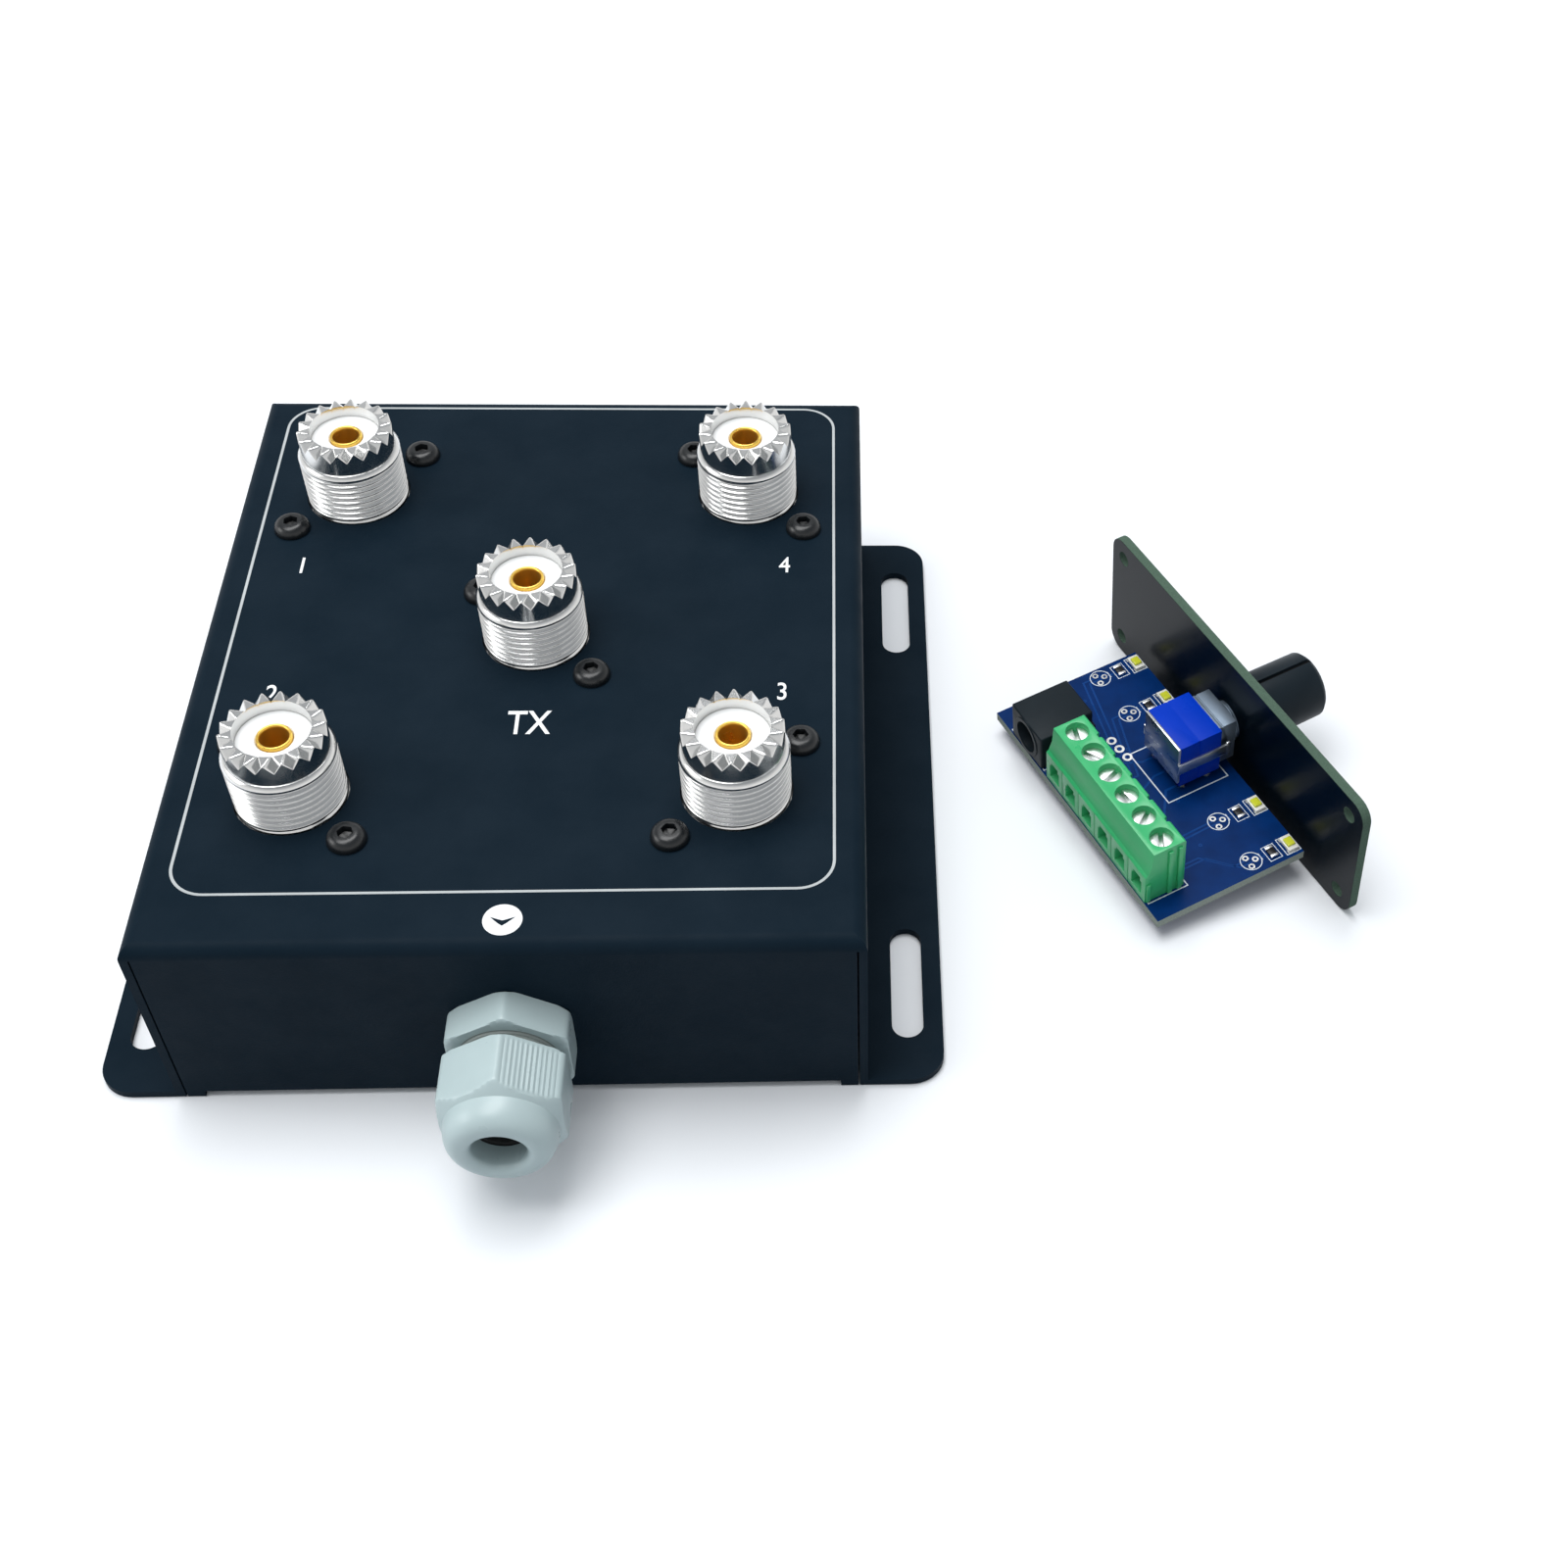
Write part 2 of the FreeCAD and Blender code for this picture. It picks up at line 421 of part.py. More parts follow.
def make_relay(number, sx, sy):
    """A relay drawn base down, long side on Y, then hung upside down under the board."""
    board_under = size("board_top_z") - size("board_t")
    hang = Placement(Vector(sx * size("relay_x"), sy * size("relay_y"), board_under), Rotation(Y, 180))

    def name(part):
        return f"relay_{number}_{part}"

    def pin(part, which, top):
        """A round pin from a height inside the relay down through the board."""
        return rod(name(part), "pin_r", f"{top} + board_t + 1", (*RELAY_PINS[which], "-board_t - 1"))

    def hung(item):
        item.Placement = hang
        return item

    inset = "relay_wall + fit"
    base = block(name("base"),
                 (f"relay_w - 2*({inset})", f"relay_l - 2*({inset})", "relay_base_t - relay_lift"),
                 (f"-relay_w/2 + {inset}", f"-relay_l/2 + {inset}", "relay_lift"))
    holes = [rod(name(f"base_hole_{n}"), "pin_r + fit", "2*relay_base_t", (x, y, "-relay_base_t/2"))
             for n, (x, y) in enumerate(RELAY_PINS)]
    keep(f"relay_base_{number}", hung(cut(name("base_drilled"), base, holes)))

    shell = block(name("cover_outer"), ("relay_w", "relay_l", "relay_tall - relay_lift"),
                  ("-relay_w/2", "-relay_l/2", "relay_lift"))
    rounded = soften(name("cover_round"), shell, size("relay_round"), lambda e: e.CenterOfMass.z > 1)
    inner = block(name("cover_inner"),
                  ("relay_w - 2*relay_wall", "relay_l - 2*relay_wall", "relay_tall - relay_wall"),
                  ("-relay_w/2 + relay_wall", "-relay_l/2 + relay_wall", "0"))
    keep(f"relay_cover_{number}", hung(cut(name("cover"), rounded, [inner])))

    # winding between two flanges, its axis along Y, with two pins under the rear flange
    winding = rod(name("winding"), "coil_r", "coil_len", ("0", "coil_rear_y", "coil_z"), "y")
    rear_rim = rod(name("rear_rim"), "flange_r", "rim_t", ("0", "coil_rear_y", "coil_z"), "y")
    front_rim = rod(name("front_rim"), "flange_r", "rim_t",
                    ("0", "coil_rear_y + coil_len - rim_t", "coil_z"), "y")
    foot = block(name("coil_foot"), ("iron_w", "rim_t", "coil_z - relay_base_t"),
                 ("-iron_w/2", "coil_rear_y", "relay_base_t"))
    pins = [pin("coil_pin_left", 3, "relay_base_t + 1"), pin("coil_pin_right", 4, "relay_base_t + 1")]
    through = rod(name("winding_bore"), "core_r + fit", "coil_len + 2",
                  ("0", "coil_rear_y - 1", "coil_z"), "y")
    spool = fuse(name("spool"), [winding, rear_rim, front_rim, foot] + pins)
    coil = hung(cut(name("coil"), spool, [through]))

    # the iron stands off the spool behind and under it by the relay's own lift
    core = rod(name("core"), "core_r", "coil_len + 3*relay_lift",
               ("0", "coil_rear_y - relay_lift", "coil_z"), "y")
    back = block(name("yoke_back"), ("iron_w", "yoke_t", "pivot_z - relay_base_t + 3*relay_lift"),
                 ("-iron_w/2", "coil_rear_y - relay_lift - yoke_t", "relay_base_t + relay_lift"))
    bar_len = "armature_y - armature_gap - coil_rear_y + relay_lift + yoke_t"
    bar = block(name("yoke_bar"), ("iron_w", bar_len, "yoke_t"),
                ("-iron_w/2", "coil_rear_y - relay_lift - yoke_t", "pivot_z - relay_lift"))
    yoke = hung(fuse(name("yoke"), [core, back, bar, pin("common_pin", 2, "relay_base_t + 1")]))

    # rocking plate in front of the core, with an arm that carries the moving contact
    plate = block(name("armature_plate"), ("iron_w", "armature_t", "pivot_z - relay_base_t + 0.1"),
                  ("-iron_w/2", "armature_y", "relay_base_t + 0.7"))
    arm = block(name("armature_arm"), ("arm_w", "arm_len", "arm_t"),
                ("-arm_w/2", "armature_y", "pivot_z - arm_t/2"))
    blade = block(name("armature_blade"), ("blade_w", "blade_t", "pivot_z - contact_z + 1"),
                  ("-blade_w/2", "blade_y", "contact_z - 1"))
    button = rod(name("armature_button"), "button_r", "button_len", ("0", "button_y", "contact_z"), "y")
    keep(f"relay_armature_{number}", hung(fuse(name("armature"), [plate, arm, blade, button])))

    # fixed contacts: the button rests on the far one and is pulled across to the near one
    fixed = []
    near_stub = "button_y - contact_travel - contact_gap - open_contact_y"
    far_start = "button_y + button_len + contact_gap"
    far_stub = f"closed_contact_y - ({far_start})"
    strip_tall = "contact_z + 1.5*button_r - relay_base_t"
    for n, (y, start, length) in enumerate((("open_contact_y", "open_contact_y", near_stub),
                                            ("closed_contact_y", far_start, far_stub))):
        strip = block(name(f"fixed_strip_{n}"), ("strip_w", "strip_t", strip_tall),
                      ("-strip_w/2", f"{y} - strip_t/2", "relay_base_t"))
        stub = rod(name(f"fixed_stub_{n}"), "button_r", length, ("0", start, "contact_z"), "y")
        root = pin(f"fixed_pin_{n}", n, "relay_base_t + 1")
        fixed.append(hung(fuse(name(f"fixed_{n}"), [strip, stub, root])))
    return coil, yoke, fixed


def make_relays():
    coils, yokes, contacts = [], [], []
    for number, (sx, sy) in RELAYS.items():
        coil, yoke, fixed = make_relay(number, sx, sy)
        coils.append(coil)
        yokes.append(yoke)
        contacts.extend(fixed)
    keep("relay_coils", group("coil_set", coils))
    keep("relay_yokes", group("yoke_set", yokes))
    keep("relay_contacts", group("contact_set", contacts))


def make_cable_terminal():
    """Six-way block that hangs under the board's front edge, its wire holes facing the gland."""
    width = "way_pitch*way_count"
    top = "board_top_z - board_t"
    low = f"{top} - cable_block_tall"
    screw_y = "board_front_y + 1 + cable_screw_in"
    body = block("cable_block", (width, "cable_block_deep", "cable_block_tall"),
                 (f"-{width}/2", "board_front_y + 1", low))
    holes, screws = [], []
    for n in range(int(size("way_count"))):
        x = f"({n} - (way_count - 1)/2)*way_pitch"
        holes.append(block(f"cable_wire_hole_{n}", ("wire_hole", "cable_wire_deep + 1", "wire_hole"),
                           (f"{x} - wire_hole/2", "board_front_y", f"{top} - cable_wire_roof - wire_hole")))
        holes.append(rod(f"cable_screw_hole_{n}", "term_screw_r + fit",
                         "cable_stud_len + 1.5*cable_stud_sunk", (x, screw_y, low)))
        stud = rod(f"cable_screw_{n}_stud", "term_screw_r", "cable_stud_len",
                   (x, screw_y, f"{low} + cable_stud_sunk"))
        slot = block(f"cable_screw_{n}_slot", ("cable_slot_w", "3*term_screw_r", "term_slot_deep"),
                     (f"{x} - cable_slot_w/2", f"{screw_y} - 1.5*term_screw_r", f"{low} + cable_stud_sunk"))
        screws.append(cut(f"cable_screw_{n}", stud, [slot]))
    keep("cable_terminal", cut("cable_block_drilled", body, holes))
    keep("cable_terminal_screws", group("cable_screw_set", screws))


def make_gland():
    """Nylon cable gland on the front wall: everything on one axis along Y."""
    wall = "-box_d/2"

    def at(distance):
        """A point on the axis, a distance out from the wall."""
        return ("0", f"{wall} - ({distance})", "gland_z")

    hexbar = hexagon("gland_hex", "gland_across", "gland_hex_t", at("gland_hex_t"), "y", 90)
    ball = cone("gland_hex_round", "gland_across*0.535", "gland_across*0.9", "gland_hex_t*1.6",
                at("gland_hex_t"), "y")
    trimmed = doc.addObject("Part::MultiCommon", "gland_hex_trimmed")
    trimmed.Shapes = [hexbar, ball]
    thread = rod("gland_thread", "gland_thread_r", "gland_inner_len + 0.5", at("0.5"), "y")
    collar = rod("gland_collar", "collar_r", "collar_end - gland_hex_t + 0.5", at("collar_end"), "y")
    bore = rod("gland_bore", "gland_bore_r", "collar_end + gland_inner_len + 2", at("collar_end + 1"), "y")
    pocket = rod("gland_pocket", "seal_r + 0.1", "collar_end - gland_hex_t + 1", at("collar_end + 1"), "y")
    solid = fuse("gland_body_solid", [trimmed, thread, collar])
    keep("gland_body", cut("gland_body_bored", solid, [bore, pocket]))

    nut = hexagon("locknut_blank", "gland_across", "locknut_t", ("0", f"{wall} + sheet", "gland_z"), "y", 90)
    hole = rod("locknut_hole", "gland_thread_r + fit", "locknut_t + 2",
               ("0", f"{wall} + sheet - 1", "gland_z"), "y")
    keep("gland_locknut", cut("locknut", nut, [hole]))

    ring = rod("seal_blank", "seal_r", "seal_end - seal_start", at("seal_end"), "y")
    gap = rod("seal_hole", "cable_bore_r", "seal_end", at("seal_end + 1"), "y")
    keep("gland_seal", cut("seal", ring, [gap]))

    flats = hexagon("dome_flats", "gland_across", "nut_flat_end - nut_start", at("nut_flat_end"), "y", 90)
    chamfer = cone("dome_chamfer", "gland_across*0.62", "gland_across*0.53", "nut_flat_end - nut_start",
                   at("nut_flat_end"), "y")
    hexed = doc.addObject("Part::MultiCommon", "dome_hexed")
    hexed.Shapes = [flats, chamfer]
    cap = rod("dome_blank", "gland_across/2", "nut_end - nut_flat_end + 0.5", at("nut_end"), "y")
    front = -size("box_d") / 2 - size("nut_end")
    dome = soften("dome_round", cap, size("dome_round_r"),
                  lambda e: circle_at(e, size("gland_across") / 2, Y, front))
    inside = rod("dome_bore", "collar_r + over_thread", "collar_end + tighten_travel - nut_start + 1",
                 at("collar_end + tighten_travel"), "y")
    seat = rod("dome_seat", "seal_r + 0.3", "seal_end + 0.1 - nut_start", at("seal_end + 0.1"), "y")
    mouth = rod("dome_mouth", "cable_hole_r", "nut_end", at("nut_end + 1"), "y")
    keep("gland_nut", cut("dome_nut", fuse("dome_solid", [hexed, dome]), [inside, seat, mouth]))


# Control unit, in its own axes

def unit_placement():
    """Rest the panel's lower inner edge and the solder tails on the ground, then turn and shift."""
    rise = size("panel_drop") - size("main_t") - size("solder_tail")
    run = tail_row() + size("panel_gap")
    tilt = math.atan2(rise, run)
    height = size("panel_drop") * math.cos(tilt) - size("panel_gap") * math.sin(tilt)
    turn = Rotation(Z, size("unit_turn_deg")).multiply(Rotation(Y, -math.degrees(tilt)))
    return Placement(Vector(size("unit_x"), size("unit_y"), height), turn)


def tail_row():
    """How far behind the board's front edge the terminal block's tails stand."""
    return size("term_rear") - size("tail_in")


def keep_in_unit(label, item):
    item.Placement = unit_placement()
    return keep(label, item)


SWITCH_PINS = (("-9.2", "-3.6"), ("-9.2", "0"), ("-9.2", "3.6"), ("-4.4", "-3.6"), ("-4.4", "3.6"))
JACK_TAILS = (("-main_d + 9.7", "jack_y"), ("-main_d + 4.5", "jack_y + 3.3"))


def make_boards():
    main = block("main_blank", ("main_d", "main_w", "main_t"), ("-main_d", "-main_w/2", "-main_t"))
    holes = []
    for n in range(int(size("way_count"))):
        y = f"term_y + ({n} - (way_count - 1)/2)*way_pitch"
        holes.append(rod(f"main_tail_hole_{n}", "leg_r + 0.1", "4*main_t",
                         ("-term_rear + tail_in", y, "-2*main_t")))
    for n, (x, y) in enumerate(SWITCH_PINS):
        holes.append(rod(f"main_pin_hole_{n}", "0.6", "4*main_t", (x, y, "-2*main_t")))
    for n, (x, y) in enumerate(JACK_TAILS):
        holes.append(block(f"main_jack_slot_{n}", ("0.6", "2", "4*main_t"),
                           (f"{x} - 0.3", f"{y} - 1", "-2*main_t")))
    keep_in_unit("control_board", cut("main_drilled", main, holes))

    blank = block("panel_blank", ("panel_t", "panel_w", "panel_tall"),
                  ("panel_gap", "-panel_w/2", "-panel_drop"))
    rounded = soften("panel_round_corners", blank, size("panel_round"), lambda e: runs_along(e, X))
    tools = [rod("panel_bush_hole", "bush_hole_r", "3*panel_t", ("panel_gap - panel_t", "0", "shaft_z"), "x")]
    for n, (sy, z) in enumerate(((-1, "-panel_drop + panel_hole_in"), (1, "-panel_drop + panel_hole_in"),
                                 (-1, "panel_tall - panel_drop - panel_hole_in"),
                                 (1, "panel_tall - panel_drop - panel_hole_in"))):
        tools.append(rod(f"panel_corner_hole_{n}", "panel_hole_r", "3*panel_t",
                         ("panel_gap - panel_t", f"({sy})*(panel_w/2 - panel_hole_in)", z), "x"))
    keep_in_unit("front_panel", cut("panel_drilled", rounded, tools))


def make_rotary_switch():
    low = "shaft_z - switch_tall/2"
    case = block("switch_case", ("switch_rear - switch_front", "switch_w", "switch_tall"),
                 ("-switch_rear", "-switch_w/2", low))
    chamber = rod("switch_chamber", "rotor_r + 0.3", "switch_rear - switch_front",
                  ("-switch_rear + chamber_wall", "0", "shaft_z"), "x")
    keep_in_unit("switch_housing", cut("switch_case_hollow", case, [chamber]))

    nose = block("nose_block", ("switch_front + nose_front", "nose_w", "nose_tall"),
                 ("-switch_front", "-nose_w/2", "shaft_z - nose_tall/2"))
    bush = rod("nose_bush", "bush_r", "bush_end - nose_front + 0.5",
               ("nose_front - 0.5", "0", "shaft_z"), "x")
    bore = rod("nose_bore", "shaft_r + shaft_play", "bush_end + 2*switch_front",
               ("-2*switch_front", "0", "shaft_z"), "x")
    keep_in_unit("switch_bush", cut("nose_bored", fuse("nose_solid", [nose, bush]), [bore]))

    # thin rear plate with two straps that reach forward to the metal block
    back = "-switch_rear - strap_plate_t"
    plate = block("strap_plate", ("strap_plate_t", "switch_w", "switch_tall - 1"),
                  (back, "-switch_w/2", "shaft_z - switch_tall/2 + 1"))
    straps = [plate]
    reach = "switch_rear - switch_front + strap_plate_t + strap_over_nose"
    for side, y in (("right", "-switch_w/2 - strap_t"), ("left", "switch_w/2")):
        straps.append(block(f"strap_{side}", (reach, "strap_t", "strap_w"), (back, y, "shaft_z - strap_w/2")))
    keep_in_unit("switch_strap", fuse("strap_frame", straps))

    pins = []
    for n, (x, y) in enumerate(SWITCH_PINS):
        pins.append(block(f"switch_pin_{n}", ("pin_t", "pin_w", "main_t + pin_end + shaft_z - switch_tall/2"),
                          (f"{x} - pin_t/2", f"{y} - pin_w/2", "-main_t - pin_end")))
    keep_in_unit("switch_pins", group("switch_pin_set", pins))

    blank = hexagon("panel_nut_blank", "panel_nut_across", "panel_nut_t",
                    ("panel_gap + panel_t", "0", "shaft_z"), "x")
    tapped = rod("panel_nut_hole", "bush_r + fit", "2*panel_nut_t", ("panel_gap", "0", "shaft_z"), "x")
    keep_in_unit("panel_nut", cut("panel_nut_tapped", blank, [tapped]))

    bar = rod("shaft_bar", "shaft_r", "shaft_end + rotor_front", ("-rotor_front", "0", "shaft_z"), "x")
    spigot = rod("shaft_spigot", "spigot_r", "2*spigot_len",
                 ("-rotor_front - spigot_len", "0", "shaft_z"), "x")
    keep_in_unit("switch_shaft", fuse("shaft", [bar, spigot]))

    hub = rod("rotor_hub", "rotor_r", "rotor_t", ("-rotor_front - rotor_t", "0", "shaft_z"), "x")
    finger = block("rotor_finger", ("finger_t", "finger_side", "finger_side"),
                   ("-rotor_front - rotor_t - finger_out", "-finger_side/2", "shaft_z + finger_up"))
    seat = rod("rotor_seat", "spigot_r + fit", "2*spigot_len",
               ("-rotor_front - spigot_len - 0.1", "0", "shaft_z"), "x")
    keep_in_unit("switch_rotor", cut("rotor", fuse("rotor_solid", [hub, finger]), [seat]))


def make_knob():
    """Slightly tapered knob on the shaft, a pointer groove along its top."""
    cone_body = cone("knob_cone", "knob_r", "knob_tip_r", "knob_end - knob_start",
                     ("knob_start", "0", "shaft_z"), "x")
    tip = size("knob_end")
    edged = soften("knob_edge_round", cone_body, size("knob_edge"),
                   lambda e: circle_at(e, size("knob_tip_r"), X, tip))
    bore = rod("knob_bore", "shaft_r + 0.02", "shaft_end - knob_start + 0.2",
               ("knob_start - 0.1", "0", "shaft_z"), "x")
    groove = block("knob_groove", ("knob_end - knob_start", "pointer_w", "4*pointer_deep"),
                   ("knob_start + pointer_in", "-pointer_w/2", "shaft_z + knob_tip_r - pointer_deep"))
    keep_in_unit("knob", cut("knob_finished", edged, [bore, groove]))


def make_control_terminal():
    """Six-way screw block on the board's rear edge: sloped shoulder over the wire holes."""
    width = "way_pitch*way_count"
    low_y = f"term_y - {width}/2"
    foot = block("term_foot", ("term_deep", width, "term_slope_z"), ("-term_rear", low_y, "0"))
    head = block("term_head", ("term_top_deep", width, "term_tall - term_slope_z"),
                 ("-term_rear + term_deep - term_top_deep", low_y, "term_slope_z"))
    shoulder = doc.addObject("Part::Wedge", "term_shoulder")
    for prop, text in {
        "Xmin": "0", "Xmax": "term_deep - term_top_deep", "X2min": "term_deep - term_top_deep - 0.1",
        "X2max": "term_deep - term_top_deep", "Ymin": "0", "Ymax": "term_tall - term_slope_z",
        "Zmin": "0", "Zmax": width, "Z2min": "0", "Z2max": width,
    }.items():
        shoulder.setExpression(prop, formula(text))
    shoulder.Placement = Placement(Vector(), Rotation(X, 90))
    put(shoulder, ("-term_rear", f"term_y + {width}/2", "term_slope_z"))
    body = fuse("term_body", [foot, head, shoulder])
    doc.recompute()

    holes, screws, clamps = [], [], []
    centre_x = "-term_rear + term_deep - term_top_deep/2"
    for n in range(int(size("way_count"))):
        y = f"term_y + ({n} - (way_count - 1)/2)*way_pitch"
        holes.append(block(f"term_wire_{n}", ("term_wire_deep + 0.1", "wire_hole", "wire_hole"),
                           ("-term_rear - 0.1", f"{y} - wire_hole/2", "wire_floor")))
        holes.append(rod(f"term_well_{n}", "term_screw_r + fit", "term_tall", (centre_x, y, "wire_floor")))
        stud = rod(f"term_screw_{n}_stud", "term_screw_r", "term_tall - stud_sunk - stud_low",
                   (centre_x, y, "stud_low"))
        slot = block(f"term_screw_{n}_slot", ("3*term_screw_r", "term_slot_w", "term_slot_deep"),
                     (f"{centre_x} - 1.5*term_screw_r", f"{y} - term_slot_w/2",
                      "term_tall - stud_sunk - term_slot_deep"))
        screws.append(cut(f"term_screw_{n}", stud, [slot]))
        cage = block(f"clamp_{n}_cage", ("cage_len", "cage_side", "cage_side"),
                     ("-term_rear + cage_in", f"{y} - cage_side/2", "wire_floor + 0.1"))
        entry = block(f"clamp_{n}_entry", ("2*cage_len", "entry_w", "entry_tall"),
                      ("-term_rear", f"{y} - entry_w/2", "wire_floor + 0.6"))
        leg = rod(f"clamp_{n}_leg", "leg_r", "main_t + solder_tail + wire_floor + 0.3",
                  ("-term_rear + tail_in", y, "-main_t - solder_tail"))
        clamps.append(fuse(f"clamp_{n}", [cut(f"clamp_{n}_open", cage, [entry]), leg]))
        holes.append(rod(f"term_leg_{n}", "leg_r + 0.1", "2*wire_floor",
                         ("-term_rear + tail_in", y, "-wire_floor/2")))
    keep_in_unit("terminal_housing", cut("term_drilled", body, holes))
    keep_in_unit("terminal_screws", group("term_screw_set", screws))
    keep_in_unit("terminal_clamps", group("clamp_set", clamps))


def make_power_jack():
    """Low power socket beside the terminal block, its mouth level with the board's rear edge."""
    rear = "-main_d + jack_set"
    case = block("jack_case", ("jack_len", "jack_w", "jack_tall"), (rear, "jack_y - jack_w/2", "0"))
    edged = soften("jack_case_round", case, size("jack_round"), lambda e: e.CenterOfMass.z > 1)
    mouth = rod("jack_mouth", "jack_hole_r", "jack_len - jack_back_wall + 1",
                (f"{rear} - 1", "jack_y", "jack_tall/2"), "x")
    keep_in_unit("power_jack", cut("jack_bored", edged, [mouth]))
    pin = rod("jack_pin", "jack_pin_r", "jack_pin_len",
              (f"{rear} + jack_pin_in", "jack_y", "jack_tall/2"), "x")
    tails = [pin]
    for n, (x, y) in enumerate(JACK_TAILS):
        tails.append(block(f"jack_tail_{n}", ("jack_tail_t", "jack_tail_w", "main_t + jack_tail_end"),
                           (f"{x} - jack_tail_t/2", f"{y} - jack_tail_w/2", "-main_t - jack_tail_end")))
    keep_in_unit("power_jack_contacts", group("jack_metal", tails))


def make_lamps():
    lamps, resistors = [], []
    for n, y in enumerate(("-lamp_outer_y", "-lamp_inner_y", "lamp_inner_y", "lamp_outer_y")):
        lamps.append(block(f"lamp_{n}", ("lamp_len", "lamp_w", "lamp_t"),
                           ("-lamp_in - lamp_len", f"{y} - lamp_w/2", "0")))
        resistors.append(block(f"resistor_{n}", ("resistor_len", "resistor_w", "resistor_t"),
                               ("-resistor_in - resistor_len", f"{y} - resistor_w/2", "0")))
    keep_in_unit("status_lamps", group("lamp_set", lamps))
    keep_in_unit("lamp_resistors", group("resistor_set", resistors))


make_shell()
make_bottom()
for port, (port_x, port_y, slant) in PORTS.items():
    make_socket(port, port_x, port_y, slant)
make_socket_fixings()
make_relay_board()
make_relays()
make_cable_terminal()
make_gland()
make_boards()
make_rotary_switch()
make_knob()
make_control_terminal()
make_power_jack()
make_lamps()
doc.recompute()

for item in doc.Objects:
    if "Invalid" in item.State or "Error" in item.State:
        raise RuntimeError(f"{item.Name} ({item.Label}) failed: {item.State}")
for label, item in pieces.items():
    if item.Shape.isNull() or not item.Shape.isValid() or not item.Shape.Solids:
        raise RuntimeError(f"{label} has no valid solid")
for label, item in pieces.items():
    item.Shape.exportStep(f"parts/{label}.step")
    print(f"{label:24} {len(item.Shape.Solids):3} solids  {item.Shape.Volume:10.1f} mm3")
print(len(pieces), "sub-parts")
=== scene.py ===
"""Looks of the remote coaxial antenna switch: relay box with five sockets, and its bare control unit.

Shapes are drawn in millimetres and become metres in make_piece. The control unit's shapes are
drawn in its own axes, X towards the knob and Z up out of the blue board, and UNIT places them.
"""

import json
import math
import random

import bmesh
import bpy
from mathutils import Matrix, Vector


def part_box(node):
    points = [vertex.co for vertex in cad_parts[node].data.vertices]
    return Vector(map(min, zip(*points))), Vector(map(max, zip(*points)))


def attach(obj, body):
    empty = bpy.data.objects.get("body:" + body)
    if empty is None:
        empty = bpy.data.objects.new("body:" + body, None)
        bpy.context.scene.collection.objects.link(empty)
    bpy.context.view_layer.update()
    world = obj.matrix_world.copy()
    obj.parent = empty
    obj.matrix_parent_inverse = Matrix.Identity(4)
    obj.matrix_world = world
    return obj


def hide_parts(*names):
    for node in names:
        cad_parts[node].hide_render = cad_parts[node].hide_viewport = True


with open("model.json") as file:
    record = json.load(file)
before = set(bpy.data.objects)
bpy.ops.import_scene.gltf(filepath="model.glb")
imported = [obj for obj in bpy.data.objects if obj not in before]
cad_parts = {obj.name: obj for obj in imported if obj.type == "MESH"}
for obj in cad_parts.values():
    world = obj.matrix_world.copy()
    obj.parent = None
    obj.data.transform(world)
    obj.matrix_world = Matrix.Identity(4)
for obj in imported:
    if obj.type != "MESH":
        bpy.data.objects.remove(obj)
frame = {"nodes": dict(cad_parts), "record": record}
MM = 0.001
random.seed(14)


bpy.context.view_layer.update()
MOUNTS = {m["name"]: m for m in frame["record"]["mounts"]}
PORTS = ("1", "2", "3", "4", "tx")


def node_box(name):
    """A node's lowest and highest corners in millimetres."""
    low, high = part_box(name)
    return low / MM, high / MM


# Camera, found from the box's corners and the socket centres in the photograph: FOCAL, CENTRE and
# IMAGE in its pixels, SENSOR and CAMERA_PLACE in millimetres, CAMERA_TURN in degrees

FOCAL = 2125.0
CENTRE = (1007.5, 873.0)
IMAGE = 1600.0
SENSOR = 36.0
CAMERA_PLACE = (48.2, -234.5, 257.2)
CAMERA_TURN = (40.544, -2.417, -2.827)


def make_camera():
    """Camera at the photograph's viewing angle, shifted as the photograph is cropped."""
    data = bpy.data.cameras.new("camera")
    data.sensor_width = SENSOR
    data.lens = FOCAL / IMAGE * SENSOR
    data.shift_x = -(CENTRE[0] - IMAGE / 2) / IMAGE
    data.shift_y = (CENTRE[1] - IMAGE / 2) / IMAGE
    data.clip_start = 0.01
    camera = bpy.data.objects.new("camera", data)
    camera.location = Vector(CAMERA_PLACE) * MM
    camera.rotation_euler = [math.radians(a) for a in CAMERA_TURN]
    bpy.context.scene.collection.objects.link(camera)
    bpy.context.scene.camera = camera


# Materials

def graph(name):
    """A new material with its tree and its shader."""
    mat = bpy.data.materials.new(name)
    mat.use_nodes = True
    return mat, mat.node_tree, mat.node_tree.nodes["Principled BSDF"]


def add_node(tree, kind, **inputs):
    """A node with some of its inputs set or linked by name."""
    item = tree.nodes.new("ShaderNode" + kind)
    for key, value in inputs.items():
        socket = item.inputs[key]
        if isinstance(value, bpy.types.NodeSocket):
            tree.links.new(value, socket)
        else:
            socket.default_value = value
    return item


def noise(tree, size_mm, detail, stretch=(1, 1, 1)):
    """Noise whose grain is about size_mm wide, in the piece's own coordinates."""
    coords = tree.nodes.new("ShaderNodeTexCoord")
    scaled = add_node(tree, "Mapping", Vector=coords.outputs["Object"], Scale=stretch)
    item = add_node(tree, "TexNoise", Vector=scaled.outputs["Vector"], Scale=1000 / size_mm, Detail=detail)
    return item.outputs["Fac"]


def ramp(tree, value, low, high, start=0.3, end=0.7):
    """A value stretched from one range to another."""
    item = add_node(tree, "MapRange", Value=value)
    item.inputs["From Min"].default_value = start
    item.inputs["From Max"].default_value = end
    item.inputs["To Min"].default_value = low
    item.inputs["To Max"].default_value = high
    return item.outputs["Result"]


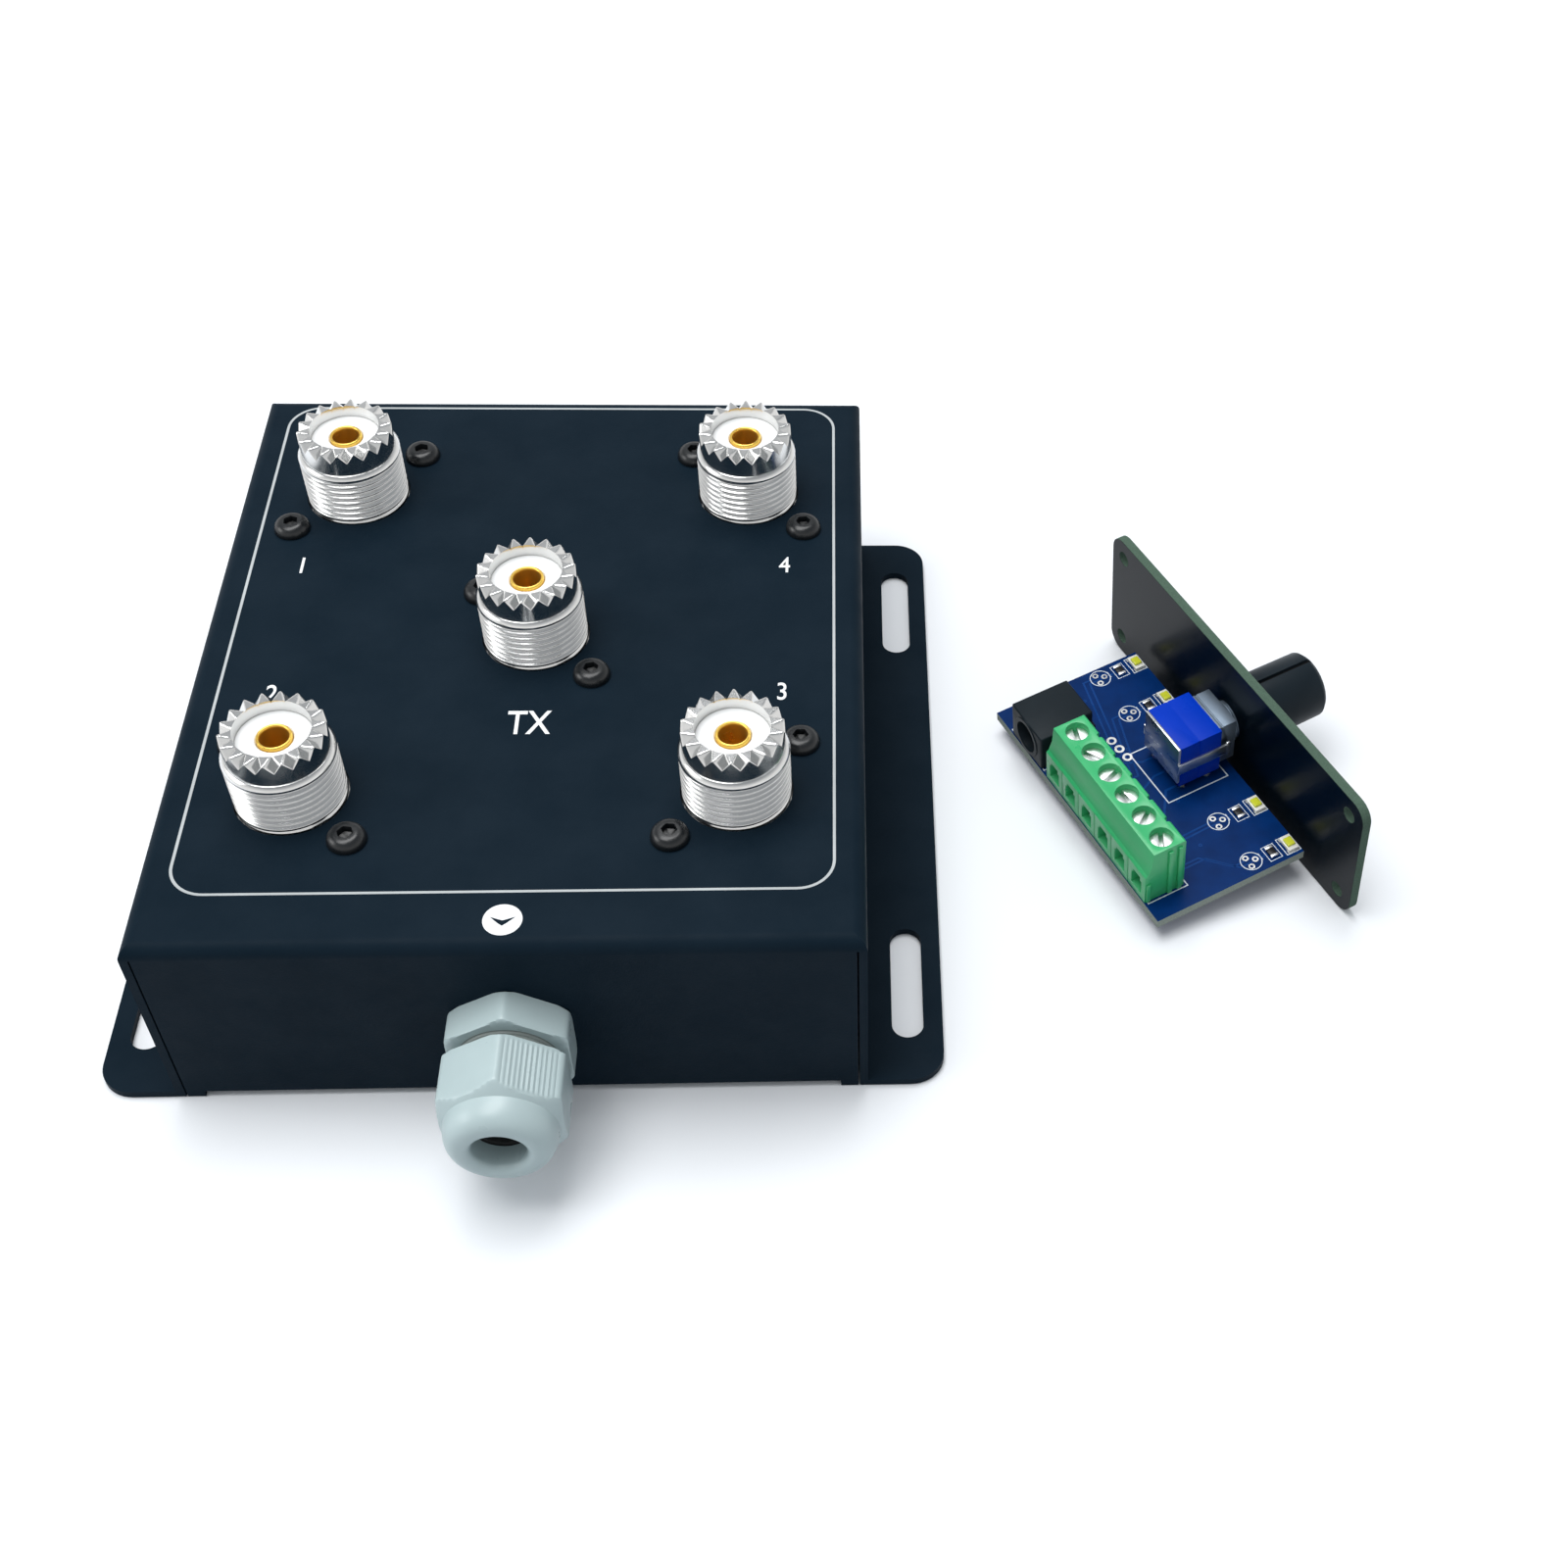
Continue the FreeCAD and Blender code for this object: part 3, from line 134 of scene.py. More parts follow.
def mixed(tree, factor, first, second):
    """Two colours mixed by a factor."""
    item = tree.nodes.new("ShaderNodeMix")
    item.data_type = "RGBA"
    tree.links.new(factor, item.inputs[0])
    for socket, value in ((item.inputs[6], first), (item.inputs[7], second)):
        if isinstance(value, bpy.types.NodeSocket):
            tree.links.new(value, socket)
        else:
            socket.default_value = (*value, 1)
    return item.outputs[2]


def bumped(tree, shader, height, strength, depth_mm):
    """Relief in the surface from a height."""
    item = add_node(tree, "Bump", Height=height, Strength=strength, Distance=depth_mm * MM)
    tree.links.new(item.outputs["Normal"], shader.inputs["Normal"])


def background_ray(tree):
    """1 for rays that show the background: straight from the camera, mirrored or through glass."""
    path = tree.nodes.new("ShaderNodeLightPath")
    total = path.outputs["Is Camera Ray"]
    for output in ("Is Glossy Ray", "Is Transmission Ray"):
        step = tree.nodes.new("ShaderNodeMath")
        step.operation = "MAXIMUM"
        tree.links.new(total, step.inputs[0])
        tree.links.new(path.outputs[output], step.inputs[1])
        total = step.outputs[0]
    return total


def surface(name, colour, rough, metal=0.0, mottle=0.1, smudge=0.06, grain=0.3, bump=0.15, depth=0.02,
            coat=0.0, stretch=(1, 1, 1), shine=0.5):
    """Colour that varies slowly, gloss that varies in smudges, and a fine grain in the surface."""
    mat, tree, shader = graph(name)
    pale = [min(1, c * (1 + mottle) + 0.002) for c in colour]
    dark = [c * (1 - mottle) for c in colour]
    tone = ramp(tree, noise(tree, 9, 4, stretch), 0, 1)
    tree.links.new(mixed(tree, tone, dark, pale), shader.inputs["Base Color"])
    gloss = ramp(tree, noise(tree, 4, 5, stretch), max(0.02, rough - smudge), min(1, rough + smudge))
    tree.links.new(gloss, shader.inputs["Roughness"])
    shader.inputs["Metallic"].default_value = metal
    shader.inputs["Specular IOR Level"].default_value = shine
    shader.inputs["Coat Weight"].default_value = coat
    shader.inputs["Coat Roughness"].default_value = 0.05
    bumped(tree, shader, noise(tree, grain, 2, stretch), bump, depth)
    return mat


def edged_board(name, face, edge, rough, axis, shine):
    """Solder mask on a board's two faces and bare laminate on its cut edges."""
    mat, tree, shader = graph(name)
    coords = tree.nodes.new("ShaderNodeTexCoord")
    facing = tree.nodes.new("ShaderNodeVectorMath")
    facing.operation = "DOT_PRODUCT"
    tree.links.new(coords.outputs["Normal"], facing.inputs[0])
    facing.inputs[1].default_value = axis
    either_way = tree.nodes.new("ShaderNodeMath")
    either_way.operation = "ABSOLUTE"
    tree.links.new(facing.outputs["Value"], either_way.inputs[0])
    on_face = ramp(tree, either_way.outputs[0], 0, 1, 0.5, 0.8)
    weave = ramp(tree, noise(tree, 0.25, 2), 0.85, 1.15)
    laminate = tree.nodes.new("ShaderNodeVectorMath")
    laminate.operation = "SCALE"
    laminate.inputs[0].default_value = edge
    tree.links.new(weave, laminate.inputs["Scale"])
    dark, pale = [[c * share for c in face] for share in (0.85, 1.15)]
    mask = mixed(tree, ramp(tree, noise(tree, 3, 4), 0, 1), dark, pale)
    tree.links.new(mixed(tree, on_face, laminate.outputs[0], mask), shader.inputs["Base Color"])
    tree.links.new(ramp(tree, on_face, 0.75, rough, 0, 1), shader.inputs["Roughness"])
    shader.inputs["Specular IOR Level"].default_value = shine
    bumped(tree, shader, noise(tree, 0.9, 3), 0.05, 0.02)
    return mat


def make_materials():
    """Every finish by name: colour and roughness, then how it differs from a plain moulding."""
    return {
        "coat": surface("box_coat", (0.0045, 0.0125, 0.0215), 0.5, mottle=0.06, smudge=0.05, grain=0.28,
                        bump=0.5, depth=0.045, shine=0.035),
        "nickel": surface("nickel", (0.72, 0.72, 0.71), 0.2, metal=1, mottle=0.05, smudge=0.04, grain=0.5,
                          bump=0.02, depth=0.004),
        "ptfe": surface("ptfe", (0.84, 0.85, 0.85), 0.38, mottle=0.03, grain=0.4, bump=0.1),
        "gold": surface("gold", (0.95, 0.62, 0.12), 0.3, metal=0.9, mottle=0.08, grain=0.4, bump=0.05,
                        depth=0.005),
        "black_screw": surface("black_screw", (0.004, 0.0055, 0.007), 0.3, mottle=0.15, smudge=0.08,
                               bump=0.1, depth=0.01),
        "ink": surface("legend_ink", (0.8, 0.82, 0.83), 0.5, mottle=0.04, grain=0.2, bump=0.2, depth=0.005),
        "line_ink": surface("line_ink", (0.42, 0.45, 0.46), 0.5, mottle=0.08, grain=0.2, bump=0.2,
                            depth=0.005),
        "nylon": surface("gland_nylon", (0.42, 0.52, 0.53), 0.34, mottle=0.04, smudge=0.08, grain=0.5,
                         bump=0.12),
        # the collar is the gland's own nylon darkened: painted shade for the gap between the hexagon and the
        # nut
        "collar": surface("gland_collar", (0.2, 0.23, 0.22), 0.5, mottle=0.06, grain=0.4, bump=0.2),
        "seal": surface("gland_rubber", (0.012, 0.0125, 0.013), 0.6, mottle=0.15, bump=0.3),
        "green": surface("terminal_green", (0.035, 0.42, 0.15), 0.34, mottle=0.06, smudge=0.08, grain=0.5,
                         bump=0.18),
        "tin": surface("terminal_tin", (0.82, 0.83, 0.83), 0.34, metal=1, mottle=0.06, smudge=0.08,
                       grain=0.25, bump=0.08, depth=0.01),
        "blue": surface("switch_blue", (0.0, 0.034, 0.44), 0.3, mottle=0.06, grain=0.5, bump=0.08,
                        shine=0.08),
        "zinc": surface("switch_zinc", (0.2, 0.25, 0.31), 0.55, metal=1, mottle=0.16, smudge=0.08,
                        depth=0.015),
        "steel": surface("switch_steel", (0.66, 0.68, 0.7), 0.3, metal=1, mottle=0.05, smudge=0.05,
                         grain=0.4, bump=0.03, depth=0.005, stretch=(1, 1, 6)),
        "dull": surface("plain_moulding", (0.17, 0.16, 0.14), 0.5),
        "knob": surface("knob_plastic", (0.0095, 0.016, 0.022), 0.42, mottle=0.12, smudge=0.05, bump=0.3,
                        shine=0.1),
        # near black for the floor of the knob's pointer groove: painted shade in the groove
        "groove": surface("knob_groove", (0.002, 0.0025, 0.003), 0.6, shine=0.1),
        "jack": surface("jack_plastic", (0.01, 0.016, 0.021), 0.42, mottle=0.12, grain=0.35, bump=0.25,
                        shine=0.1),
        "mask": edged_board("blue_board", (0.0004, 0.023, 0.12), (0.3, 0.34, 0.3), 0.3, UNIT_Z, 0.08),
        "trace": surface("blue_trace", (0.001, 0.042, 0.2), 0.3, bump=0.05, shine=0.1),
        "panel": edged_board("black_board", (0.0006, 0.0032, 0.0068), (0.07, 0.115, 0.085), 0.28, UNIT_X,
                             0.1),
        "silk": surface("board_silk", (0.62, 0.68, 0.74), 0.55, mottle=0.05, grain=0.2, bump=0.2,
                        depth=0.005),
        "pad": surface("solder_pad", (0.75, 0.75, 0.73), 0.28, metal=1, mottle=0.08, smudge=0.08, bump=0.1,
                       depth=0.01),
        "lamp_white": surface("lamp_base", (0.75, 0.75, 0.7), 0.4),
        "lamp_gel": surface("lamp_gel", (0.62, 0.66, 0.04), 0.16, mottle=0.08, coat=0.4),
        "chip": surface("chip_black", (0.012, 0.012, 0.014), 0.3, shine=0.3),
        "window": surface("lamp_window", (0.5, 0.52, 0.36), 0.2, mottle=0.06, coat=0.3),
        "relay_board": surface("relay_board", (0.01, 0.1, 0.04), 0.26),
        "relay_case": surface("relay_case", (0.014, 0.014, 0.015), 0.3, shine=0.3),
        "winding": surface("winding", (0.5, 0.19, 0.07), 0.35, metal=1, mottle=0.12, stretch=(1, 9, 1),
                           bump=0.6),
        "iron": surface("relay_iron", (0.56, 0.56, 0.54), 0.34, metal=1),
        "silver": surface("relay_contact", (0.72, 0.6, 0.42), 0.3, metal=1),
    }


def dress(nodes, mat):
    """Give carried-over CAD nodes a finish."""
    for name in nodes:
        item = frame["nodes"][name]
        if not item.material_slots:
            item.data.materials.append(mat)
        for slot in item.material_slots:
            slot.material = mat


# Shapes: vertices in millimetres and faces

PRINT_THICK = 0.012
# print stands this far off its face
PRINT_GAP = 0.002
# height of a capital letter as a share of the font's size
CAPITAL = 0.72


class Shape:
    """Vertices and faces gathered before they become one piece."""

    def __init__(self):
        self.verts, self.faces, self.paint = [], [], []

    def add(self, other, mat=None, place=None):
        """Take in (verts, faces), moved by a matrix, in one material."""
        verts, faces = other
        first = len(self.verts)
        self.verts += [place @ Vector(v) if place else Vector(v) for v in verts]
        self.faces += [[first + i for i in face] for face in faces]
        self.paint += [mat] * len(faces)
        return self


def make_piece(shape, name, body, place, sharp, stands_for=(), default=None):
    """Turn a shape into a piece that rides on a body and stands for some nodes."""
    mesh = bpy.data.meshes.new(name)
    mesh.from_pydata([v * MM for v in shape.verts], [], shape.faces)
    if place:
        mesh.transform(place)
    kinds = []
    for polygon, mat in zip(mesh.polygons, shape.paint):
        mat = mat or default
        if mat not in kinds:
            kinds.append(mat)
            mesh.materials.append(mat)
        polygon.material_index = kinds.index(mat)
        polygon.use_smooth = True
    mesh.validate()
    mesh.set_sharp_from_angle(angle=math.radians(sharp))
    item = bpy.data.objects.new(name, mesh)
    bpy.context.scene.collection.objects.link(item)
    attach(item, body)
    if stands_for:
        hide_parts(*stands_for)


def lathe(profile, steps, sweep=None):
    """Revolve (radius, height) points about Z. sweep may change a point by its angle."""
    verts, faces, rings = [], [], []
    for r, z in profile:
        if r < 1e-6:
            verts.append((0, 0, z))
            rings.append([len(verts) - 1] * steps)
            continue
        ring = []
        for k in range(steps):
            angle = 2 * math.pi * k / steps
            rr, zz = sweep(r, z, angle) if sweep else (r, z)
            verts.append((rr * math.cos(angle), rr * math.sin(angle), zz))
            ring.append(len(verts) - 1)
        rings.append(ring)
    for low, high in zip(rings, rings[1:]):
        for k in range(steps):
            n = (k + 1) % steps
            face = []
            for i in (low[k], low[n], high[n], high[k]):
                if i not in face:
                    face.append(i)
            if len(face) > 2:
                faces.append(face)
    return verts, faces


def slab(low, high, bevel=0.0, segments=2):
    """A box with its edges rounded."""
    bm = bmesh.new()
    size = Vector(high) - Vector(low)
    middle = (Vector(high) + Vector(low)) / 2
    bmesh.ops.create_cube(bm, size=1, matrix=Matrix.Translation(middle) @ Matrix.Diagonal((*size, 1)))
    if bevel:
        bmesh.ops.bevel(bm, geom=list(bm.edges), offset=bevel, segments=segments, profile=0.6, affect="EDGES")
    return drain(bm)


def drain(bm):
    """Vertices and faces of a bmesh, which is freed."""
    bm.verts.index_update()
    result = [tuple(v.co) for v in bm.verts], [[v.index for v in f.verts] for f in bm.faces]
    bm.free()
    return result


def prism(outline, low, high, axis="z"):
    """Extrude a closed outline along an axis; it goes round counter-clockwise seen from the far end."""
    count = len(outline)
    spread = {"z": lambda a, b, c: (a, b, c), "y": lambda a, b, c: (a, c, b),
              "x": lambda a, b, c: (c, a, b)}[axis]
    verts = [spread(a, b, low) for a, b in outline] + [spread(a, b, high) for a, b in outline]
    faces = [[k, (k + 1) % count, count + (k + 1) % count, count + k] for k in range(count)]
    faces += [list(range(count))[::-1], list(range(count, 2 * count))]
    if axis == "y":
        faces = [face[::-1] for face in faces]
    return verts, faces


def rod(radius, low, high, steps=40):
    """A cylinder along Z."""
    return lathe([(0, low), (radius, low), (radius, high), (0, high)], steps)


def shifted(solid, x, y):
    """A solid moved across."""
    verts, faces = solid
    return [(vx + x, vy + y, vz) for vx, vy, vz in verts], faces


def along_x(solid, y=0.0, z=0.0):
    """A solid drawn along Z, laid along X."""
    verts, faces = solid
    return [(vz, vy + y, -vx + z) for vx, vy, vz in verts], faces


def drum_x(radius, low, high, y, z, bore=0.0, steps=48):
    """A cylinder or tube along X."""
    if bore:
        profile = [(bore, low), (radius - 0.1, low), (radius, low + 0.1), (radius, high), (bore, high),
                   (bore, low)]
    else:
        profile = [(0, low), (radius, low), (radius, high), (0, high)]
    return along_x(lathe(profile, steps), y, z)


def hexagon(across):
    """Corners of a hexagon from its width across flats."""
    return circle(0, 0, across / math.sqrt(3), 6)


def carve(base, cutters, bevel=0.0, segments=2, angle=30):
    """Cut closed shapes out of a closed shape and round its edges."""
    def temporary(part):
        """An object that lasts until the cut is made."""
        mesh = bpy.data.meshes.new("temporary")
        mesh.from_pydata([Vector(v) for v in part[0]], [], part[1])
        item = bpy.data.objects.new("temporary", mesh)
        bpy.context.scene.collection.objects.link(item)
        return item

    body = temporary(base)
    made = [body]
    for cutter in cutters:
        tool = temporary(cutter)
        made.append(tool)
        modifier = body.modifiers.new("cut", "BOOLEAN")
        modifier.operation = "DIFFERENCE"
        modifier.solver = "EXACT"
        modifier.object = tool
    if bevel:
        modifier = body.modifiers.new("edges", "BEVEL")
        modifier.width = bevel
        modifier.segments = segments
        modifier.limit_method = "ANGLE"
        modifier.angle_limit = math.radians(angle)
        modifier.use_clamp_overlap = True
    mesh = bpy.data.meshes.new_from_object(body.evaluated_get(bpy.context.evaluated_depsgraph_get()))
    result = [tuple(v.co) for v in mesh.vertices], [list(p.vertices) for p in mesh.polygons]
    for item in made:
        old = item.data
        bpy.data.objects.remove(item)
        bpy.data.meshes.remove(old)
    bpy.data.meshes.remove(mesh)
    return result


def lettering(text, height, weight, width=1.0):
    """Flat letters, centred on the origin, facing +Z."""
    data = bpy.data.curves.new("letters", "FONT")
    data.body = text
    data.size = height / CAPITAL
    data.offset = weight * height
    data.align_x = "CENTER"
    data.align_y = "CENTER"
    data.extrude = PRINT_THICK
    item = bpy.data.objects.new("letters", data)
    bpy.context.scene.collection.objects.link(item)
    mesh = bpy.data.meshes.new_from_object(item.evaluated_get(bpy.context.evaluated_depsgraph_get()))
    verts = [(v.co.x * width, v.co.y, v.co.z) for v in mesh.vertices]
    result = verts, [list(p.vertices) for p in mesh.polygons]
    bpy.data.objects.remove(item)
    bpy.data.curves.remove(data)
    bpy.data.meshes.remove(mesh)
    return result


def ribbon(points, width, closed=False):
    """A flat printed line on the XY plane through some points."""
    verts, faces = [], []
    count = len(points)
    for k, point in enumerate(points):
        here = Vector(point)
        before = Vector(points[k - 1]) if k or closed else here
        after = Vector(points[(k + 1) % count]) if k < count - 1 or closed else here
        along = ((here - before).normalized() + (after - here).normalized()).normalized()
        side = Vector((-along.y, along.x)) * width / 2
        spread = 1 / max(0.5, along.dot((after - here).normalized() if after != here else along))
        for sign, z in ((1, 0), (-1, 0), (-1, PRINT_THICK), (1, PRINT_THICK)):
            verts.append((here.x + sign * side.x * spread, here.y + sign * side.y * spread, z))
    for k in range(count if closed else count - 1):
        a, b = 4 * k, 4 * ((k + 1) % count)
        for i in range(4):
            j = (i + 1) % 4
            faces.append([a + i, b + i, b + j, a + j][::-1])
    if not closed:
        faces += [[0, 1, 2, 3], [4 * count - 1, 4 * count - 2, 4 * count - 3, 4 * count - 4]]
    return verts, faces


def rounded_outline(low, high, radius, steps):
    """A rectangle with round corners, counter-clockwise."""
    points = []
    ends = ((high[0], high[1], 0), (low[0], high[1], 90), (low[0], low[1], 180), (high[0], low[1], 270))
    for cx, cy, start in ends:
        mx = cx - radius if start in (0, 270) else cx + radius
        my = cy - radius if start in (0, 90) else cy + radius
        for k in range(steps + 1):
            angle = math.radians(start + 90 * k / steps)
            points.append((mx + radius * math.cos(angle), my + radius * math.sin(angle)))
    return points


def circle(x, y, radius, steps):
    """Points round a circle, counter-clockwise."""
    angles = [2 * math.pi * k / steps for k in range(steps)]
    return [(x + radius * math.cos(a), y + radius * math.sin(a)) for a in angles]


def ring(x, y, outer, inner, low, high, steps):
    """A flat washer."""
    profile = [(inner, low), (outer, low), (outer, high), (inner, high), (inner, low)]
    return shifted(lathe(profile, steps), x, y)


def softmin(a, b, blend):
    """The smaller of two values, rounded where they are nearly equal."""
    h = max(blend - abs(a - b), 0) / blend
    return min(a, b) - h * h * blend / 4


def move(x=0, y=0, z=0):
    """A matrix that only moves."""
    return Matrix.Translation((x, y, z))


# Relay box: the sockets' heights are above the lid, their radii out from their own axes

LID_TOP = node_box("enclosure_shell")[1].z
THREAD_PITCH = 25.4 / 24
THREAD_DEPTH = 0.55
BARREL_R = MOUNTS["port_tx_thread"]["dims"]["r_mm"]
BARREL_TOP = 9.2
BEVEL = 0.6
NECK_R = 7.6
CROWN_R = 7.3
CROWN_TOP = 13.1
CROWN_BORE = 5.4
TEETH = 18
TOOTH_SLOPE = math.tan(math.radians(36))
TOOTH_START = 5.1
FOOT_SIDE = 25.4
FOOT_TOP = -1.2
FOOT_BASE = -3.2
SCREW_OFFSET = 9.12


def port_place(port):
    """Place of a socket: its axis on the lid's surface."""
    x, y, _ = MOUNTS[f"port_{port}_thread"]["pos_m"]
    return Matrix.Translation((x, y, LID_TOP * MM))


def thread_point(r, z, angle):
    """Push a point of the barrel in where the helical groove runs."""
    low, high = 0.1, BARREL_TOP - BEVEL - 0.15
    if r < BARREL_R - 0.01 or z < low or z > high:
        return r, z
    turn = z / THREAD_PITCH - angle / (2 * math.pi)
    groove = 0.5 - 0.5 * math.cos(2 * math.pi * turn)
    fade = min(1, (z - low) / 0.8, (high - z) / 0.5)
    return r - THREAD_DEPTH * fade * groove ** 0.8, z


def socket_body():
    """Threaded barrel on its neck, and the square foot under the lid."""
    steps, rows = 120, 120
    top = BARREL_TOP - BEVEL
    profile = [(NECK_R, FOOT_TOP), (NECK_R, 0)] + [(BARREL_R, top * k / rows) for k in range(rows + 1)]
    profile += [(BARREL_R - BEVEL * 0.93, BARREL_TOP - 0.04), (BARREL_R - BEVEL - 0.05, BARREL_TOP)]
    profile += [(CROWN_R - 0.25, BARREL_TOP), (CROWN_R - 0.3, BARREL_TOP + 0.12)]
    shape = Shape().add(lathe(profile, steps, thread_point))
    half = FOOT_SIDE / 2
    plate = rounded_outline((-half, -half), (half, half), 1.0, 4)
    cutters = []
    for x in (-SCREW_OFFSET, SCREW_OFFSET):
        for y in (-SCREW_OFFSET, SCREW_OFFSET):
            cutters.append(shifted(rod(1.6, -4, 0, 20), x, y))
    cutters.append(rod(CROWN_BORE, -4, 0))
    shape.add(carve(prism(plate, FOOT_BASE, FOOT_TOP), cutters, 0.15, 1))
    return shape


def crown():
    """Ring of teeth: valleys that deepen outwards, cut into the top of a short tube."""
    per_tooth, radial = 16, 9
    steps = TEETH * per_tooth
    low, shoulder, inner_low = BARREL_TOP - 0.02, BARREL_TOP + 0.1, 9.0
    verts, faces = [], []
    for k in range(steps):
        angle = 2 * math.pi * k / steps
        valley = round(k / per_tooth) * 2 * math.pi / TEETH
        column = [(CROWN_R - 0.16, low), (CROWN_R - 0.02, shoulder)]
        for j in range(radial + 1):
            r = CROWN_R + (CROWN_BORE - CROWN_R) * j / radial
            across = r * math.sin(abs(angle - valley))
            along = r * math.cos(abs(angle - valley))
            bottom = CROWN_TOP + 0.05 - (along - TOOTH_START) * TOOTH_SLOPE
            height = softmin(CROWN_TOP, bottom + across / math.cos(math.atan(TOOTH_SLOPE)), 0.05)
            if j == 0:
                column.append((r, max(shoulder + 0.05, height - 0.09)))
                r -= 0.07
            column.append((r, height))
        column += [(CROWN_BORE - 0.04, CROWN_TOP - 0.3), (CROWN_BORE - 0.04, inner_low)]
        verts += [(r * math.cos(angle), r * math.sin(angle), z) for r, z in column]
    size = len(column)
    for k in range(steps):
        n = (k + 1) % steps
        for j in range(size - 1):
            faces.append([k * size + j, n * size + j, n * size + j + 1, k * size + j + 1])
    return verts, faces


def insulator():
    """White disc round the contact, with a softened rim."""
    top, rim = 11.2, 0.12
    outer, bore = 5.37, 2.53
    profile = [(bore, -6), (outer, -6), (outer, top - rim), (outer - rim, top), (3.5, top + 0.02),
               (2.75, top - 0.05), (2.56, top - 0.25), (bore, top - 0.6), (bore, -6)]
    return lathe(profile, 72)


def contact():
    """Gold contact: a rolled rim round a deep bore, and the solder tail below."""
    top, outer, bore, tail = 11.6, 2.5, 2.0, 1.1
    floor = top - MOUNTS["port_tx_contact"]["dims"]["length_mm"]
    profile = [(0, -13), (tail, -12.9), (tail, -3), (2.45, -2.9), (outer, -2.6), (outer, top - 0.3),
               (2.44, top - 0.08), (2.3, top), (2.15, top - 0.04), (2.03, top - 0.25), (bore, top - 0.6),
               (bore, floor), (0, floor)]
    return lathe(profile, 56)


def button_screw(turn):
    """Dome head with a hexagonal socket, and its shank."""
    head_r, head_t, key, shank_r, edge = 2.83, 1.8, 2.0, 1.45, 0.16
    steps = 48
    floor = head_t - 1.1
    dome = [(shank_r, -6), (shank_r, 0), (head_r - 0.12, 0), (head_r, edge)]
    for k in range(1, 11):
        angle = math.radians(90 * k / 10)
        r = head_r - (head_r - shank_r) * (1 - math.cos(angle))
        dome.append((r, edge + (head_t - edge) * math.sin(angle)))
    verts, faces = lathe(dome, steps)
    rim = [len(verts) - steps + k for k in range(steps)]
    levels = ((head_t, 1.0), (head_t - 0.06, 0.965), (floor, 0.955))
    for z, share in levels:
        for k in range(steps):
            angle = 2 * math.pi * k / steps
            fold = (angle + turn) % (math.pi / 3) - math.pi / 6
            r = share * key / 2 / math.cos(fold) * 1.04
            verts.append((r * math.cos(angle), r * math.sin(angle), z))
        new = list(range(len(verts) - steps, len(verts)))
        faces += [[rim[k], rim[(k + 1) % steps], new[(k + 1) % steps], new[k]] for k in range(steps)]
        rim = new
    verts.append((0, 0, floor - 0.35))
    faces += [[rim[k], rim[(k + 1) % steps], len(verts) - 1] for k in range(steps)]
    return verts, faces


def make_sockets():
    """Five sockets, each with two screws on one diagonal of its foot."""
    body, teeth = socket_body(), Shape().add(crown())
    disc, pin = Shape().add(insulator()), Shape().add(contact())
    screws = Shape()
    slants = {"1": 1, "2": -1, "3": 1, "4": -1, "tx": -1}
    for n, port in enumerate(PORTS):
        place = port_place(port)
        turned = place @ Matrix.Rotation(math.radians(3 + 4 * n), 4, "Z")
        rows = (("body", body, "nickel", place, 75, [f"socket_body_{port}"]),
                ("crown", teeth, "nickel", place, 30, ()),
                ("insulator", disc, "ptfe", turned, 40, [f"socket_insulator_{port}"]),
                ("contact", pin, "gold", turned, 50, [f"socket_contact_{port}"]))
        for part, shape, finish, where, sharp, nodes in rows:
            make_piece(shape, f"port_{port}_{part}", "relay_box", where, sharp, nodes, MAT[finish])
        for side in (-1, 1):
            spot = place @ move(side * SCREW_OFFSET * MM, side * slants[port] * SCREW_OFFSET * MM)
            screws.add(button_screw(0.35 + 0.9 * n + side), MAT["black_screw"],
                       Matrix.Translation(spot.translation / MM))
    make_piece(screws, "port_screws", "relay_box", None, 40, ["socket_screws"])


def make_legends():
    """White print on the lid: frame line, numbers, transceiver mark and an arrow towards the cable."""
    level = LID_TOP + PRINT_GAP
    line = Shape()
    frame_low, frame_high, corner = (-45.5, -49.7), (45.5, 57.0), 5.2
    outline = rounded_outline(frame_low, frame_high, corner, 14)
    line.add(ribbon(outline, 0.42, closed=True), MAT["line_ink"], move(0, 0, level))
    make_piece(line, "lid_line", "relay_box", None, 60)
    marks = Shape()
    for text, x, y, height in (("1", -37.7, 17, 3.7), ("4", 37.7, 17, 3.7), ("2", -37.7, -11.4, 3.7),
                               ("3", 37.7, -11.4, 3.7), ("TX", 0.6, -17.7, 4.9)):
        marks.add(lettering(text, height, 0.01, 0.72), MAT["ink"], move(x, y, level + PRINT_THICK))
    arrow = [(-1.8, 0.55), (-0.6, 0.1), (0, -0.1), (0.6, 0.1), (1.8, 0.55), (0.6, -0.6), (0, -1.05),
             (-0.6, -0.6)]
    disc = carve(prism(circle(0, 0, 2.7, 56), 0, 2 * PRINT_THICK), [prism(arrow[::-1], -0.1, 0.1)])
    marks.add(disc, MAT["ink"], move(0.5, -54.7, level))
    make_piece(marks, "lid_marks", "relay_box", None, 60)


# Cable gland, drawn along Z and turned so that Z points out of the front wall

GLAND_ACROSS = 17.0
GLAND_PITCH = 1.5
# corners of the hexagons are cut back to this share of half their width
CORNER = 1.135


def hex_radius(angle):
    """Distance to a hexagon's side, its corners cut back to a circle."""
    fold = (angle % (math.pi / 3)) - math.pi / 6
    return softmin(GLAND_ACROSS / 2 / math.cos(fold), GLAND_ACROSS / 2 * CORNER, 0.25)


